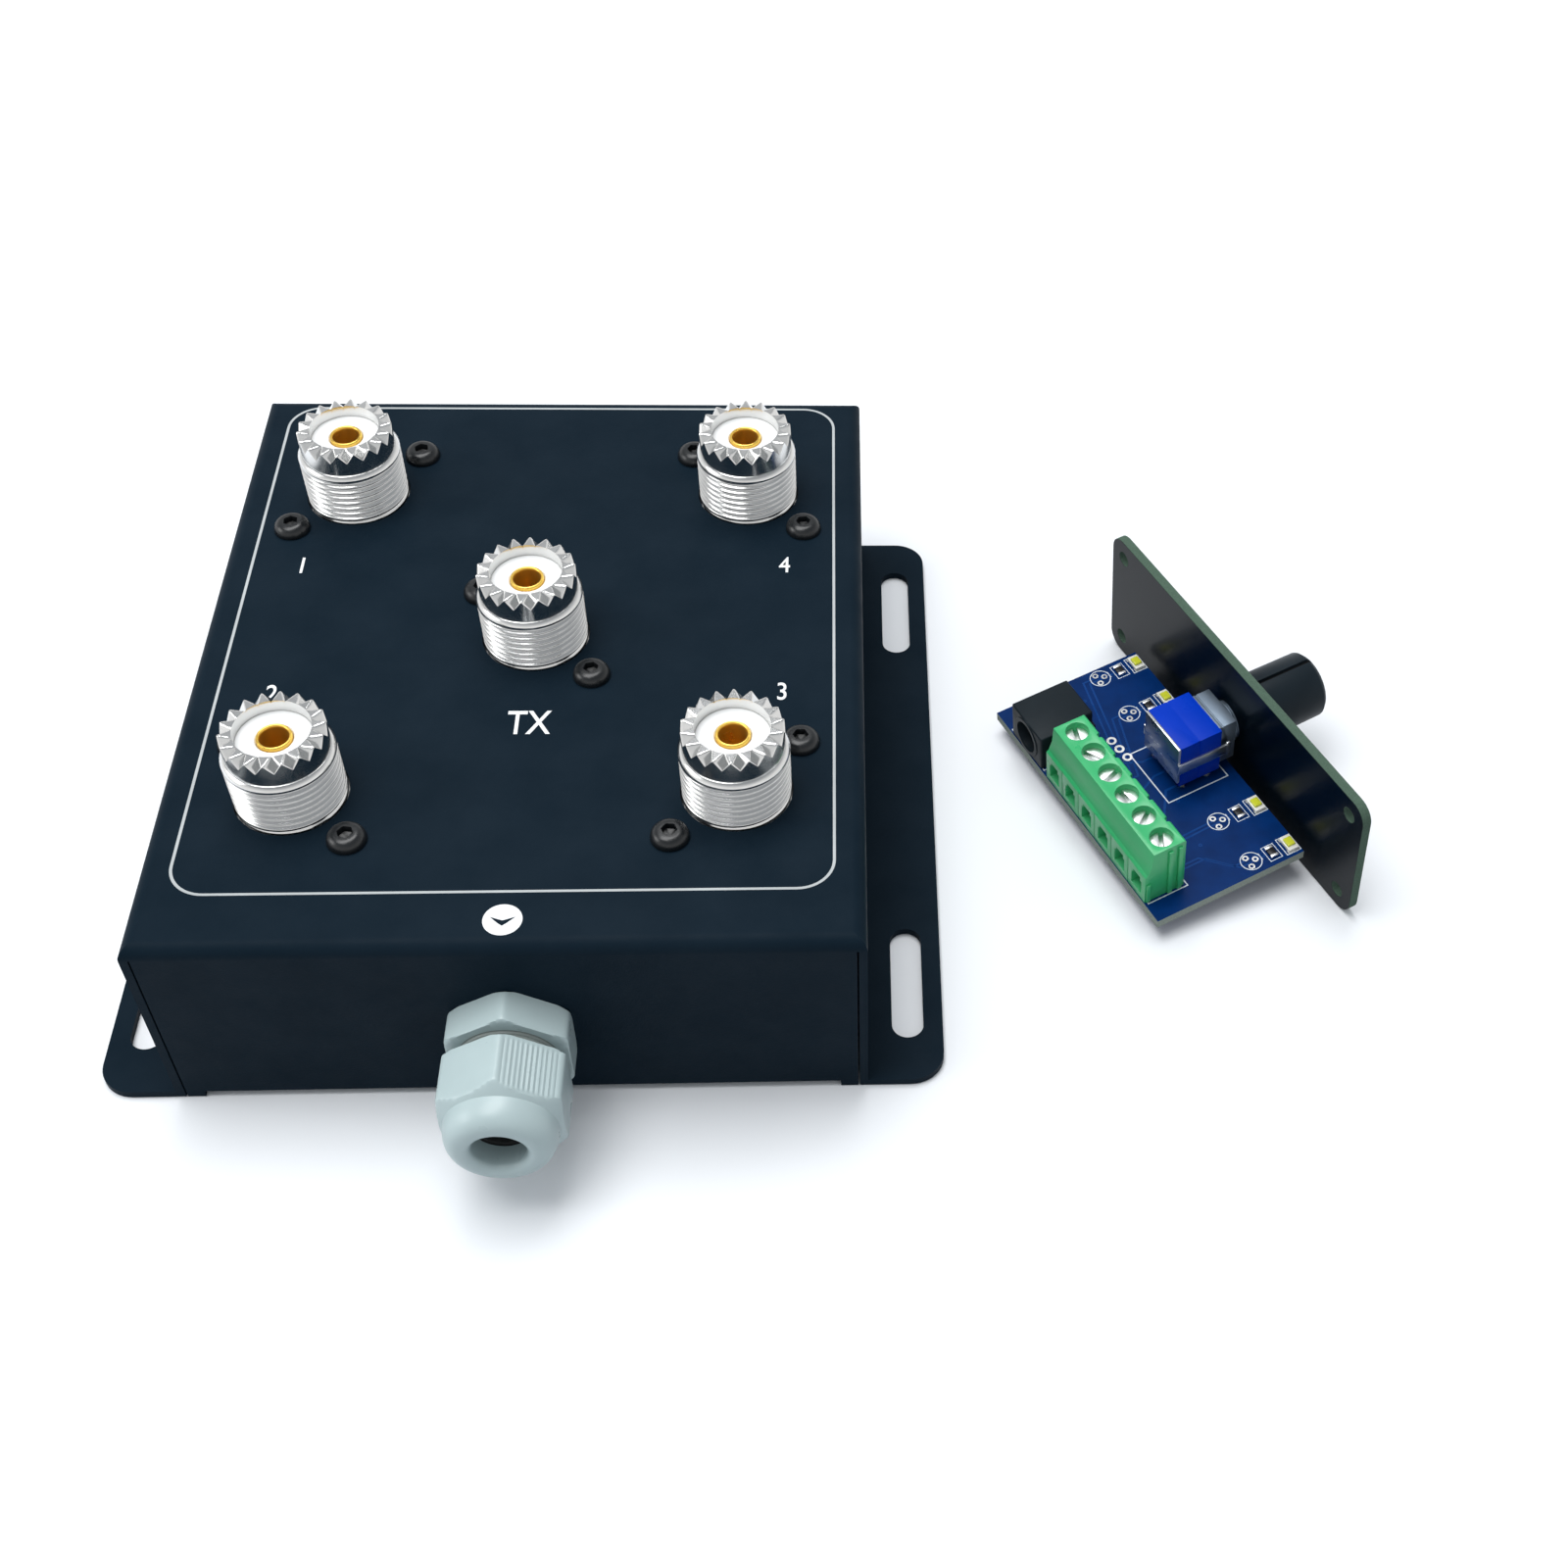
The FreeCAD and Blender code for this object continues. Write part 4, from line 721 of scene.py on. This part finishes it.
def polar_skin(stations):
    """A skin round Z from stations of (height, radius function)."""
    steps = 288
    verts, faces = [], []
    for z, radius in stations:
        for k in range(steps):
            angle = 2 * math.pi * k / steps
            r = radius(angle)
            verts.append((r * math.cos(angle), r * math.sin(angle), z))
    for j in range(len(stations) - 1):
        for k in range(steps):
            n = (k + 1) % steps
            faces.append([j * steps + k, j * steps + n, (j + 1) * steps + n, (j + 1) * steps + k])
    return verts, faces


def gland_base():
    """Hexagonal body with a threaded collar behind the nut and a shank through the wall."""
    thick, neck, chamber, bore, shank, shank_end = 5.2, 7.35, 5.2, 4.2, 6.2, -9

    def side(angle, cone):
        """The hexagon's side, its corners turned down to a cone."""
        return softmin(hex_radius(angle), cone, 0.2)

    stations = [(0, lambda a: 6.25), (0, lambda a: side(a, 9.1))]
    for z in (0.1, 0.3, 0.7, 1.1, 1.6, 2.2, 2.8, 3.4, 3.9, 4.3, 4.6, 4.9, 5.05):
        cone = 9.1 + 1.6 * min(z, thick - z)
        stations.append((z, lambda a, c=cone: side(a, c)))
    stations += [(thick, lambda a: side(a, 8.9) - 0.1), (thick, lambda a: neck)]
    shape = Shape().add(polar_skin(stations), MAT["nylon"])
    collar = [(neck, thick), (7.15, 5.25), (7.05, 5.5)]
    for k in range(48):
        z = 5.6 + 7.6 * k / 47
        wave = math.cos(2 * math.pi * z / GLAND_PITCH)
        collar.append((6.98 - 0.16 * (1 - wave) * 0.5, z))
    collar += [(6.7, 13.4), (5.3, 13.4), (chamber, 13.2), (chamber, thick), (bore, thick), (bore, shank_end)]
    # collar, chamber and bore are drawn in the nylon darkened as painted shade
    shape.add(lathe(collar, 72), MAT["collar"])
    outside = [(shank, 0.0), (shank, -8.7), (6.0, shank_end), (bore, shank_end)]
    shape.add(lathe(outside, 64), MAT["nylon"])
    return shape


def gland_cap():
    """Dome nut: flats with every second one ribbed, a round dome and a rolled mouth."""
    start, flat_end, end = 7.1, 16.4, 20.7
    mouth, thread_r, recess_r, recess, crest, roll = 3.8, 7.06, 5.3, 15.2, 4.9, 1.1

    def flats(angle, z):
        """Distance to the nut's side, ribs and all."""
        r = hex_radius(angle)
        side = int(angle // (math.pi / 3))
        fold = (angle % (math.pi / 3)) - math.pi / 6
        offset = GLAND_ACROSS / 2 * math.tan(fold)
        if side % 2 == 0 and abs(offset) < 4.2 and start + 0.5 < z < flat_end - 0.8:
            r += 0.07 * (math.cos(2 * math.pi * offset / 0.72) - 1)
        return r

    stations = [(start, lambda a: thread_r), (start, lambda a: softmin(flats(a, start), 8.7, 0.4) - 0.12)]
    levels = [start + 0.12, start + 0.4, start + 0.65] + [start + 1 + 0.55 * k for k in range(12)]
    levels += [14.3, 14.7, 15.0, 15.3, 15.6, 15.9, 16.15, 16.4]
    for z in levels:
        lead = 9.0 + 1.7 * (z - start)
        cone = 9.8 - 1.1 * max(0, z - 14.7)
        stations.append((z, lambda a, z=z, c=cone, d=lead: softmin(softmin(flats(a, z), d, 0.2), c, 0.15)))
    shape = Shape().add(polar_skin(stations), MAT["nylon"])
    dome = [(7.93, flat_end)]
    for k in range(1, 17):
        angle = math.radians(90 * k / 16)
        r = crest + 3.0 * math.cos(angle) ** 0.8
        dome.append((r, flat_end + (end - flat_end - 0.05) * math.sin(angle) ** 0.95))
    for k in range(1, 9):
        angle = math.radians(90 * k / 8)
        dome.append((crest - roll * math.sin(angle), end - 0.05 - roll * (1 - math.cos(angle))))
    dome += [(mouth, 18.0), (mouth, 16.75), (recess_r, 16.7), (recess_r, recess), (thread_r, recess),
             (thread_r, start)]
    shape.add(lathe(dome, 144), MAT["nylon"])
    return shape


def gland_ring():
    """Rubber seal inside the nut's mouth, with eight notches round its outer rim."""
    def notched(r, z, angle):
        """Push a point of the rim in where a notch is."""
        gap = abs(math.sin(4 * angle)) < 0.14 and z > 15.2
        return (r - 0.25 if gap and r > 4.6 else r), z

    bore = MOUNTS["cable_grip"]["dims"]["r_mm"]
    profile = [(bore, 7.0), (5.05, 7.0), (5.08, 7.4), (5.08, 15.9), (4.7, 16.5), (4.0, 16.6),
               (bore + 0.15, 16.45), (bore, 16.1), (bore, 12), (bore, 7.0)]
    return Shape().add(lathe(profile, 96, notched), MAT["seal"])


def make_gland():
    """Cable gland out of the front wall: body, nut and seal, each on its own CAD body."""
    x, _, z = MOUNTS["cable_grip"]["pos_m"]
    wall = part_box("enclosure_shell")[0].y
    out = Matrix.Translation((x, wall, z)) @ Matrix.Rotation(math.radians(90), 4, "X")
    # a corner of the hexagon points up
    out = out @ Matrix.Rotation(math.radians(30), 4, "Z")
    make_piece(gland_base(), "gland_base", "relay_box", out, 30, ["gland_body"])
    make_piece(gland_cap(), "gland_cap", "gland_nut", out, 30, ["gland_nut"])
    make_piece(gland_ring(), "gland_ring", "gland_seal", out, 40, ["gland_seal"])


# Control unit

def unit_matrix():
    """Place of the control unit's own axes, from the four corner holes of its panel."""
    holes = {name: Vector(MOUNTS["panel_hole_" + name]["pos_m"])
             for name in ("low_left", "low_right", "high_left", "high_right")}
    y = (holes["low_left"] - holes["low_right"]).normalized()
    z = (holes["high_left"] - holes["low_left"]).normalized()
    x = y.cross(z)
    middle = sum(holes.values(), Vector()) / 4
    # the hole centres' middle is 2.5 in front of the board edge and 6.2 above the board
    origin = middle - x * 2.5 * MM - z * 6.2 * MM
    matrix = Matrix((x, y, z)).transposed().to_4x4()
    matrix.translation = origin
    return matrix


UNIT = unit_matrix()
UNIT_X = tuple(UNIT.col[0][:3])
UNIT_Z = tuple(UNIT.col[2][:3])
MAT = make_materials()
SHAFT_Z = 6.0
PITCH = 5.08
TERM_Y = -6.2
LAMP_YS = (-23.2, -13.7, 13.7, 23.2)
PANEL_LOW, PANEL_HIGH = (-36.2, -6.6), (36.2, 19.0)
PANEL_BACK, PANEL_FACE = 1.7, 3.3


def unit_piece(shape, name, stands_for=(), sharp=32):
    """A piece that rides on the control unit."""
    make_piece(shape, name, "control_unit", UNIT, sharp, stands_for)


def way_ys():
    """Middles of the terminal's six ways."""
    return [TERM_Y + (n - 2.5) * PITCH for n in range(6)]


def make_terminal():
    """Green screw block: stepped section, round wells, square wire holes, keyed joints between ways."""
    rear, deep, tall, head, ledge = -27.5, 7.3, 11.2, 5.9, 6.2
    front = rear + deep
    back = front - head
    section = [(rear, 0), (front, 0), (front, tall - 0.25), (front - 0.25, tall), (back, tall),
               (back - 0.35, 8.2), (rear + 0.45, ledge + 0.35), (rear, ledge)]
    half = 3 * PITCH
    near = TERM_Y - half
    middle = front - head / 2
    well_r, hole_half = 1.93, 1.45
    base = prism(section, near, TERM_Y + half, "y")
    cutters = []
    for y in way_ys():
        cutters.append(shifted(rod(well_r, 4.0, tall + 1, 36), middle, y))
        cutters.append(slab((rear - 1, y - hole_half, 1.3), (rear + 6.2, y + hole_half, 4.2)))
        funnel = [(rear - 0.6, 4.2), (rear + 1.2, 4.2), (rear - 0.6, 5.3)]
        cutters.append(prism(funnel, y - 1.0, y + 1.0, "y"))
    for n in range(1, 6):
        y = near + n * PITCH
        wedge = [(front + 0.1, y - 0.62), (front + 0.1, y + 0.62), (front - 0.62, y + 0.36),
                 (front - 0.62, y - 0.36)]
        cutters.append(prism(wedge, -0.5, tall + 1))
        cutters.append(slab((rear - 0.2, y - 0.07, -0.5), (rear + 0.12, y + 0.07, ledge + 1)))
    shape = Shape().add(carve(base, cutters, 0.14, 2, 28), MAT["green"])
    for offset in (0.5, 2.3):
        low_x = front - 0.9 - offset
        rib = slab((low_x, near - 0.38, 0.1), (low_x + 0.8, near + 0.1, tall - 0.9), 0.12)
        shape.add(rib, MAT["green"])
    shape.add(slab((rear + 0.25, near - 0.3, 0.1), (rear + 0.95, near + 0.1, 4.4), 0.12), MAT["green"])
    unit_piece(shape, "terminal_block", ["terminal_housing"], 28)

    screws = Shape()
    # how each slot stands, in degrees from the block's length
    for y, turn in zip(way_ys(), (62, 38, 96, 20, 118, 74)):
        head = carve(rod(1.9, 4.1, 10.0, 40), [slab((-2.2, -0.36, 9.1), (2.2, 0.36, 10.4))], 0.09, 2)
        place = move(middle, y) @ Matrix.Rotation(math.radians(turn), 4, "Z")
        screws.add(head, MAT["tin"], place)
    unit_piece(screws, "terminal_slotted_screws", ["terminal_screws"], 30)


def make_jack():
    """Black power jack: a round mouth to the rear, a step in its top, its centre pin and tails."""
    low, high, radius, y = (-27.5, 10.8), (-16.9, 20.4), 2.8, 15.6
    tall = 7.2
    case = slab((low[0], low[1], 0), (high[0], high[1], tall))
    cutters = [drum_x(radius, low[0] - 1, low[0] + 8.8, y, tall / 2)]
    cutters.append(slab((high[0] - 3.2, low[1] - 1, tall - 2.2), (high[0] + 1, low[1] + 1.1, tall + 1)))
    shape = Shape().add(carve(case, cutters, 0.28, 3), MAT["jack"])
    shape.add(drum_x(radius + 0.75, low[0] - 0.16, low[0] + 0.2, y, tall / 2, radius), MAT["jack"])
    unit_piece(shape, "jack_case", ["power_jack"], 32)
    pin = [(0, 1.2), (0.55, 1.25), (0.9, 1.7), (1.0, 2.2), (1.0, 8.8), (0, 8.8)]
    laid = move(low[0], y, tall / 2) @ Matrix.Rotation(math.pi / 2, 4, "Y")
    metal = Shape().add(lathe(pin, 28), MAT["tin"], laid)
    for x, tail_y in ((-17.9, y), (-23.1, y + 3.3)):
        metal.add(slab((x - 0.2, tail_y - 0.9, -3.2), (x + 0.2, tail_y + 0.9, 0), 0.05, 1), MAT["tin"])
    unit_piece(metal, "jack_metal", ["power_jack_contacts"])


def make_switch():
    """Rotary switch: blue housing, grey front block with its bush, wrap-round strap and panel nut."""
    low_z, high_z = SHAFT_Z - 4.6, SHAFT_Z + 4.6
    bore_r, bush_r = 3.05, 3.48
    case = slab((-10.6, -5, low_z), (-2.8, 5, high_z))
    grooves = [slab((-7.2, y, low_z - 1), (-6.9, y + 0.4, high_z + 1)) for y in (-5.3, 4.9)]
    chamber = drum_x(4.1, -9.8, -2, 0, SHAFT_Z)
    housing = Shape().add(carve(case, grooves + [chamber], 0.2, 3), MAT["blue"])
    unit_piece(housing, "switch_case", ["switch_housing"])
    nose = slab((-2.8, -4.1, SHAFT_Z - 4.3), (0.6, 4.1, SHAFT_Z + 4.3))
    bore = drum_x(bore_r, -5, 7, 0, SHAFT_Z)
    nick = slab((-2.2, -4.5, SHAFT_Z + 4.15), (-1.9, 4.5, SHAFT_Z + 5))
    nose = carve(nose, [bore, nick], 0.1, 2)
    shape = Shape().add(nose, MAT["zinc"])
    wave = []
    for k in range(60):
        x = 0.6 + 5.0 * k / 59
        cut = 0.32 * (0.5 - 0.5 * math.cos(2 * math.pi * (x - 0.6) / 0.75)) if 1.0 < x < 5.2 else 0
        wave.append((bush_r - cut, x))
    bush = [(bore_r, 0.4), (bush_r, 0.4)] + wave + [(3.2, 5.6), (bore_r, 5.6), (bore_r, 0.4)]
    shape.add(along_x(lathe(bush, 56), z=SHAFT_Z), MAT["zinc"])
    unit_piece(shape, "switch_nose", ["switch_bush"])
    strap = Shape().add(slab((-11.1, -5, low_z + 1), (-10.6, 5, high_z), 0.12), MAT["steel"])
    for y in (-5.4, 5.0):
        strap.add(slab((-11.1, y, SHAFT_Z - 1.1), (-1.2, y + 0.4, SHAFT_Z + 1.1), 0.08), MAT["steel"])
        strap.add(slab((-1.9, y - 0.02, SHAFT_Z - 1.5), (-1.2, y + 0.42, SHAFT_Z + 1.5), 0.08), MAT["steel"])
    unit_piece(strap, "switch_frame", ["switch_strap"])
    nut = carve(prism(hexagon(9.0), PANEL_FACE, 5.3, "x"), [drum_x(3.52, 2, 7, 0, 0)], 0.2, 2)
    nut = Shape().add(nut, MAT["tin"], move(z=SHAFT_Z))
    unit_piece(nut, "panel_nut_hex", ["panel_nut"])


def make_knob():
    """Charcoal knob: straight sides, a chamfered tip and a pointer groove along its top."""
    start, end = 6.0, 18.1
    profile = [(0, start), (5.6, start), (5.8, start + 0.2), (5.66, end - 0.95), (5.6, end - 0.75),
               (4.95, end - 0.08), (4.8, end), (0, end)]
    body = along_x(lathe(profile, 96), z=SHAFT_Z)
    groove = slab((start + 0.9, -0.36, SHAFT_Z + 5.15), (end + 1, 0.36, SHAFT_Z + 7))
    bore = drum_x(3.02, start - 1, 15.7, 0, SHAFT_Z)
    shape = Shape().add(carve(body, [groove, bore], 0.08, 2, 40), MAT["knob"])
    # a near-black strip on the groove's floor is painted shade
    shape.add(slab((start + 0.95, -0.33, SHAFT_Z + 4.9), (end - 0.4, 0.33, SHAFT_Z + 5.19)), MAT["groove"])
    make_piece(shape, "pointer_knob", "knob", UNIT, 30, ["knob"])


def make_panel():
    """Black panel seen from both sides, with small marks for the four positions on its outer face."""
    plate = prism(rounded_outline(PANEL_LOW, PANEL_HIGH, 3.0, 8), PANEL_BACK, PANEL_FACE, "x")
    cutters = [drum_x(3.6, 0, 5, 0, SHAFT_Z)]
    inset, hole_r = 3.5, 1.35
    for y in (PANEL_LOW[0] + inset, PANEL_HIGH[0] - inset):
        for z in (PANEL_LOW[1] + inset, PANEL_HIGH[1] - inset):
            cutters.append(drum_x(hole_r, 0, 5, y, z, steps=28))
    board = Shape().add(carve(plate, cutters, 0.06, 1), MAT["panel"])
    unit_piece(board, "panel_board", ["front_panel"])
    marks = Shape()
    face = Matrix(((0, 0, 1, PANEL_FACE + PRINT_GAP), (1, 0, 0, 0), (0, 1, 0, 0), (0, 0, 0, 1)))
    tick_low, tick_high, number_r = 6.9, 8.0, 10.0
    for n, angle in enumerate((-30, 0, 30, 60), start=1):
        side, up = math.sin(math.radians(angle)), math.cos(math.radians(angle))
        tick = ribbon([(r * side, SHAFT_Z + r * up) for r in (tick_low, tick_high)], 0.35)
        marks.add(tick, MAT["silk"], face)
        number = lettering(str(n), 2.3, 0.015)
        place = face @ move(number_r * side, SHAFT_Z + number_r * up, PRINT_THICK)
        marks.add(number, MAT["silk"], place)
    for n, y in enumerate(LAMP_YS, start=1):
        marks.add(slab((y - 1.1, -0.2, 0), (y + 1.1, 1.4, 0.03), 0.01, 1), MAT["window"], face)
        marks.add(lettering(str(n), 2.0, 0.015), MAT["silk"], face @ move(y, 3.4, PRINT_THICK))
    unit_piece(marks, "panel_marks", (), 60)


def make_board_details():
    """Silk outlines, copper runs, pads, solder joints, lamps and resistors of the blue board."""
    silk, pads = Shape(), Shape()
    level = move(z=0.004)

    def printed(points, width, closed=False, shape=silk, mat=MAT["silk"], place=level):
        """Add a printed line."""
        shape.add(ribbon(points, width, closed), mat, place)

    def framed(low, high, width):
        """Add a printed rectangle."""
        printed([low, (high[0], low[1]), high, (low[0], high[1])], width, True)

    framed((-13.2, -6.1), (-1.7, 6.1), 0.22)
    framed((-27.0, -21.9), (-19.7, 9.4), 0.2)
    framed((-27.2, 10.4), (-16.4, 21.0), 0.18)
    lamps, chips = Shape(), Shape()
    for y in LAMP_YS:
        framed((-2.7, y - 1.75), (-0.12, y + 1.75), 0.15)
        framed((-5.7, y - 1.5), (-3.5, y + 1.5), 0.13)
        printed(circle(-8.4, y + 0.2, 1.75, 36), 0.16, True)
        for px, py in ((-8.9, y - 0.75), (-8.9, y + 1.1), (-7.6, y + 0.2)):
            pads.add(ring(px, py, 0.55, 0.27, 0.0, 0.03, 20), MAT["pad"])
        printed([(-6.6, y - 0.5), (-6.6, y + 0.9)], 0.13)
        lamps.add(slab((-2.25, y - 1.5, 0.0), (-0.35, y + 1.5, 0.55), 0.08), MAT["lamp_white"])
        lamps.add(slab((-2.0, y - 0.85, 0.45), (-0.6, y + 0.85, 0.95), 0.18, 3), MAT["lamp_gel"])
        for end in (-1, 1):
            foot = y + end * 1.35
            pads.add(slab((-2.4, foot - 0.35, 0), (-0.25, foot + 0.35, 0.1), 0.03, 1), MAT["pad"])
            cap = y + end * 0.85
            chips.add(slab((-5.35, cap - 0.24, 0), (-3.95, cap + 0.24, 0.5), 0.08), MAT["tin"])
        chips.add(slab((-5.3, y - 0.66, 0.02), (-4.0, y + 0.66, 0.47), 0.06), MAT["chip"])
    wires = Shape()
    for y, way in zip(LAMP_YS, (0, 1, 4, 5)):
        target = way_ys()[way]
        for dx, dy in ((0, 0), (0.9, 0.7)):
            path = [(-5.7 - dx, y + dy), (-10.6 - dx, y + dy), (-14.4 - dx, target + dy),
                    (-19.8, target + dy)]
            printed(path, 0.32, shape=wires, mat=MAT["trace"], place=move(z=0.001))
    for y in (-3.6, 0, 3.6):
        path = [(-9.2, y), (-12.2, y), (-16.4, y * 2.1 - 2), (-19.8, y * 2.1 - 2)]
        printed(path, 0.4, shape=wires, mat=MAT["trace"], place=move(z=0.001))
    joints = [(-24.5, y) for y in way_ys()]
    joints += [(-9.2, -3.6), (-9.2, 0), (-9.2, 3.6), (-4.4, -3.6), (-4.4, 3.6)]
    for x, y in joints:
        pads.add(ring(x, y, 0.95, 0.55, 0.0, 0.04, 20), MAT["pad"])
        joint = [(0, -2.55), (0.45, -2.5), (0.55, -2.2), (0.85, -1.75), (1.05, -1.6), (0, -1.6)]
        pads.add(lathe(joint, 24), MAT["pad"], move(x, y, 0))
    for x, y in ((-17.9, 15.6), (-23.1, 18.9)):
        pads.add(slab((x - 0.6, y - 1.5, -2.3), (x + 0.6, y + 1.5, -1.6), 0.3, 3), MAT["pad"])
    # plated holes of an unused connector beside the jack
    for k in range(3):
        pads.add(ring(-14.2 + 0.2 * k, 10.2 - 2.2 * k, 0.85, 0.45, 0.0, 0.04, 24), MAT["pad"])
    for _ in range(14):
        x, y = random.uniform(-18, -11), random.uniform(-23, 23)
        pads.add(ring(x, y, 0.32, 0.14, 0.0, 0.02, 14), MAT["trace"])
    unit_piece(silk, "board_silk", (), 60)
    unit_piece(wires, "board_runs", (), 60)
    unit_piece(pads, "board_solder", (), 40)
    unit_piece(lamps, "board_lamps", ["status_lamps"])
    unit_piece(chips, "board_resistors", ["lamp_resistors"])


# Stage

def make_stage():
    """Pale paper just under the object."""
    far, level = 3.0, -0.0002
    spots = [(x, y, level) for x, y in ((-far, -far), (far, -far), (far, far), (-far, far))]
    mesh = bpy.data.meshes.new("floor")
    mesh.from_pydata(spots, [], [(0, 1, 2, 3)])
    floor = bpy.data.objects.new("floor", mesh)
    bpy.context.scene.collection.objects.link(floor)
    mat, tree, shader = graph("floor_paper")
    tree.links.new(mixed(tree, background_ray(tree), (0.5, 0.53, 0.56), (0.9, 0.925, 0.955)),
                   shader.inputs["Base Color"])
    shader.inputs["Roughness"].default_value = 0.9
    # beyond the lamps' reach the paper fades into the white room
    coords = tree.nodes.new("ShaderNodeTexCoord")
    distance = tree.nodes.new("ShaderNodeVectorMath")
    distance.operation = "LENGTH"
    tree.links.new(coords.outputs["Object"], distance.inputs[0])
    seen = add_node(tree, "Math")
    seen.operation = "MULTIPLY"
    tree.links.new(ramp(tree, distance.outputs["Value"], 0, 1, 0.35, 0.75), seen.inputs[0])
    tree.links.new(background_ray(tree), seen.inputs[1])
    white = add_node(tree, "Emission", Color=(1, 1, 1, 1), Strength=1)
    fade = add_node(tree, "MixShader", Fac=seen.outputs[0])
    tree.links.new(shader.outputs["BSDF"], fade.inputs[1])
    tree.links.new(white.outputs[0], fade.inputs[2])
    tree.links.new(fade.outputs[0], tree.nodes["Material Output"].inputs["Surface"])
    mesh.materials.append(mat)


def area_light(name, place, target, size, power):
    """A rectangular lamp that faces a target."""
    data = bpy.data.lights.new(name, "AREA")
    data.shape = "RECTANGLE"
    data.size, data.size_y = size
    data.energy = power
    lamp = bpy.data.objects.new(name, data)
    lamp.location = place
    lamp.rotation_euler = (Vector(target) - Vector(place)).to_track_quat("-Z", "Y").to_euler()
    bpy.context.scene.collection.objects.link(lamp)


def make_lights():
    """A white room with a grey ceiling, a broad lamp above and a weaker one from the left."""
    world = bpy.data.worlds.new("studio")
    bpy.context.scene.world = world
    world.use_nodes = True
    tree = world.node_tree
    coords = tree.nodes.new("ShaderNodeTexCoord")
    split = add_node(tree, "SeparateXYZ", Vector=coords.outputs["Generated"])
    ceiling = ramp(tree, split.outputs["Z"], 0, 1, 0.2, 0.75)
    room = mixed(tree, ceiling, (1.0, 1.0, 1.0), (0.36, 0.38, 0.4))
    colour = mixed(tree, background_ray(tree), (0.49, 0.51, 0.53), room)
    tree.links.new(colour, tree.nodes["Background"].inputs["Color"])
    area_light("top_light", (-0.12, 0.1, 0.9), (0.03, 0, 0), size=(0.9, 0.5), power=8.0)
    area_light("side_light", (-0.9, -0.1, 0.45), (0.03, 0, 0.01), size=(0.5, 0.4), power=2.2)


# CAD nodes carried over as they are, by finish
CARRIED = {
    "coat": ["enclosure_shell", "bottom_plate"],
    "black_screw": ["bottom_screws", "board_screws"],
    "relay_board": ["relay_board"],
    "relay_case": [f"relay_{part}_{n}" for part in ("base", "cover") for n in "1234"],
    "winding": ["relay_coils"],
    "iron": ["relay_yokes"] + [f"relay_armature_{n}" for n in "1234"],
    "silver": ["relay_contacts"],
    "green": ["cable_terminal"],
    "tin": ["board_standoffs", "cable_terminal_screws", "terminal_clamps", "switch_pins"],
    "nylon": ["gland_locknut"],
    "mask": ["control_board"],
    "dull": ["switch_rotor"],
    "steel": ["switch_shaft"],
}
for finish, nodes in CARRIED.items():
    dress(nodes, MAT[finish])
make_camera()
make_sockets()
make_legends()
make_gland()
make_terminal()
make_jack()
make_switch()
make_knob()
make_panel()
make_board_details()
make_stage()
make_lights()
bpy.context.scene.view_settings.view_transform = "Standard"
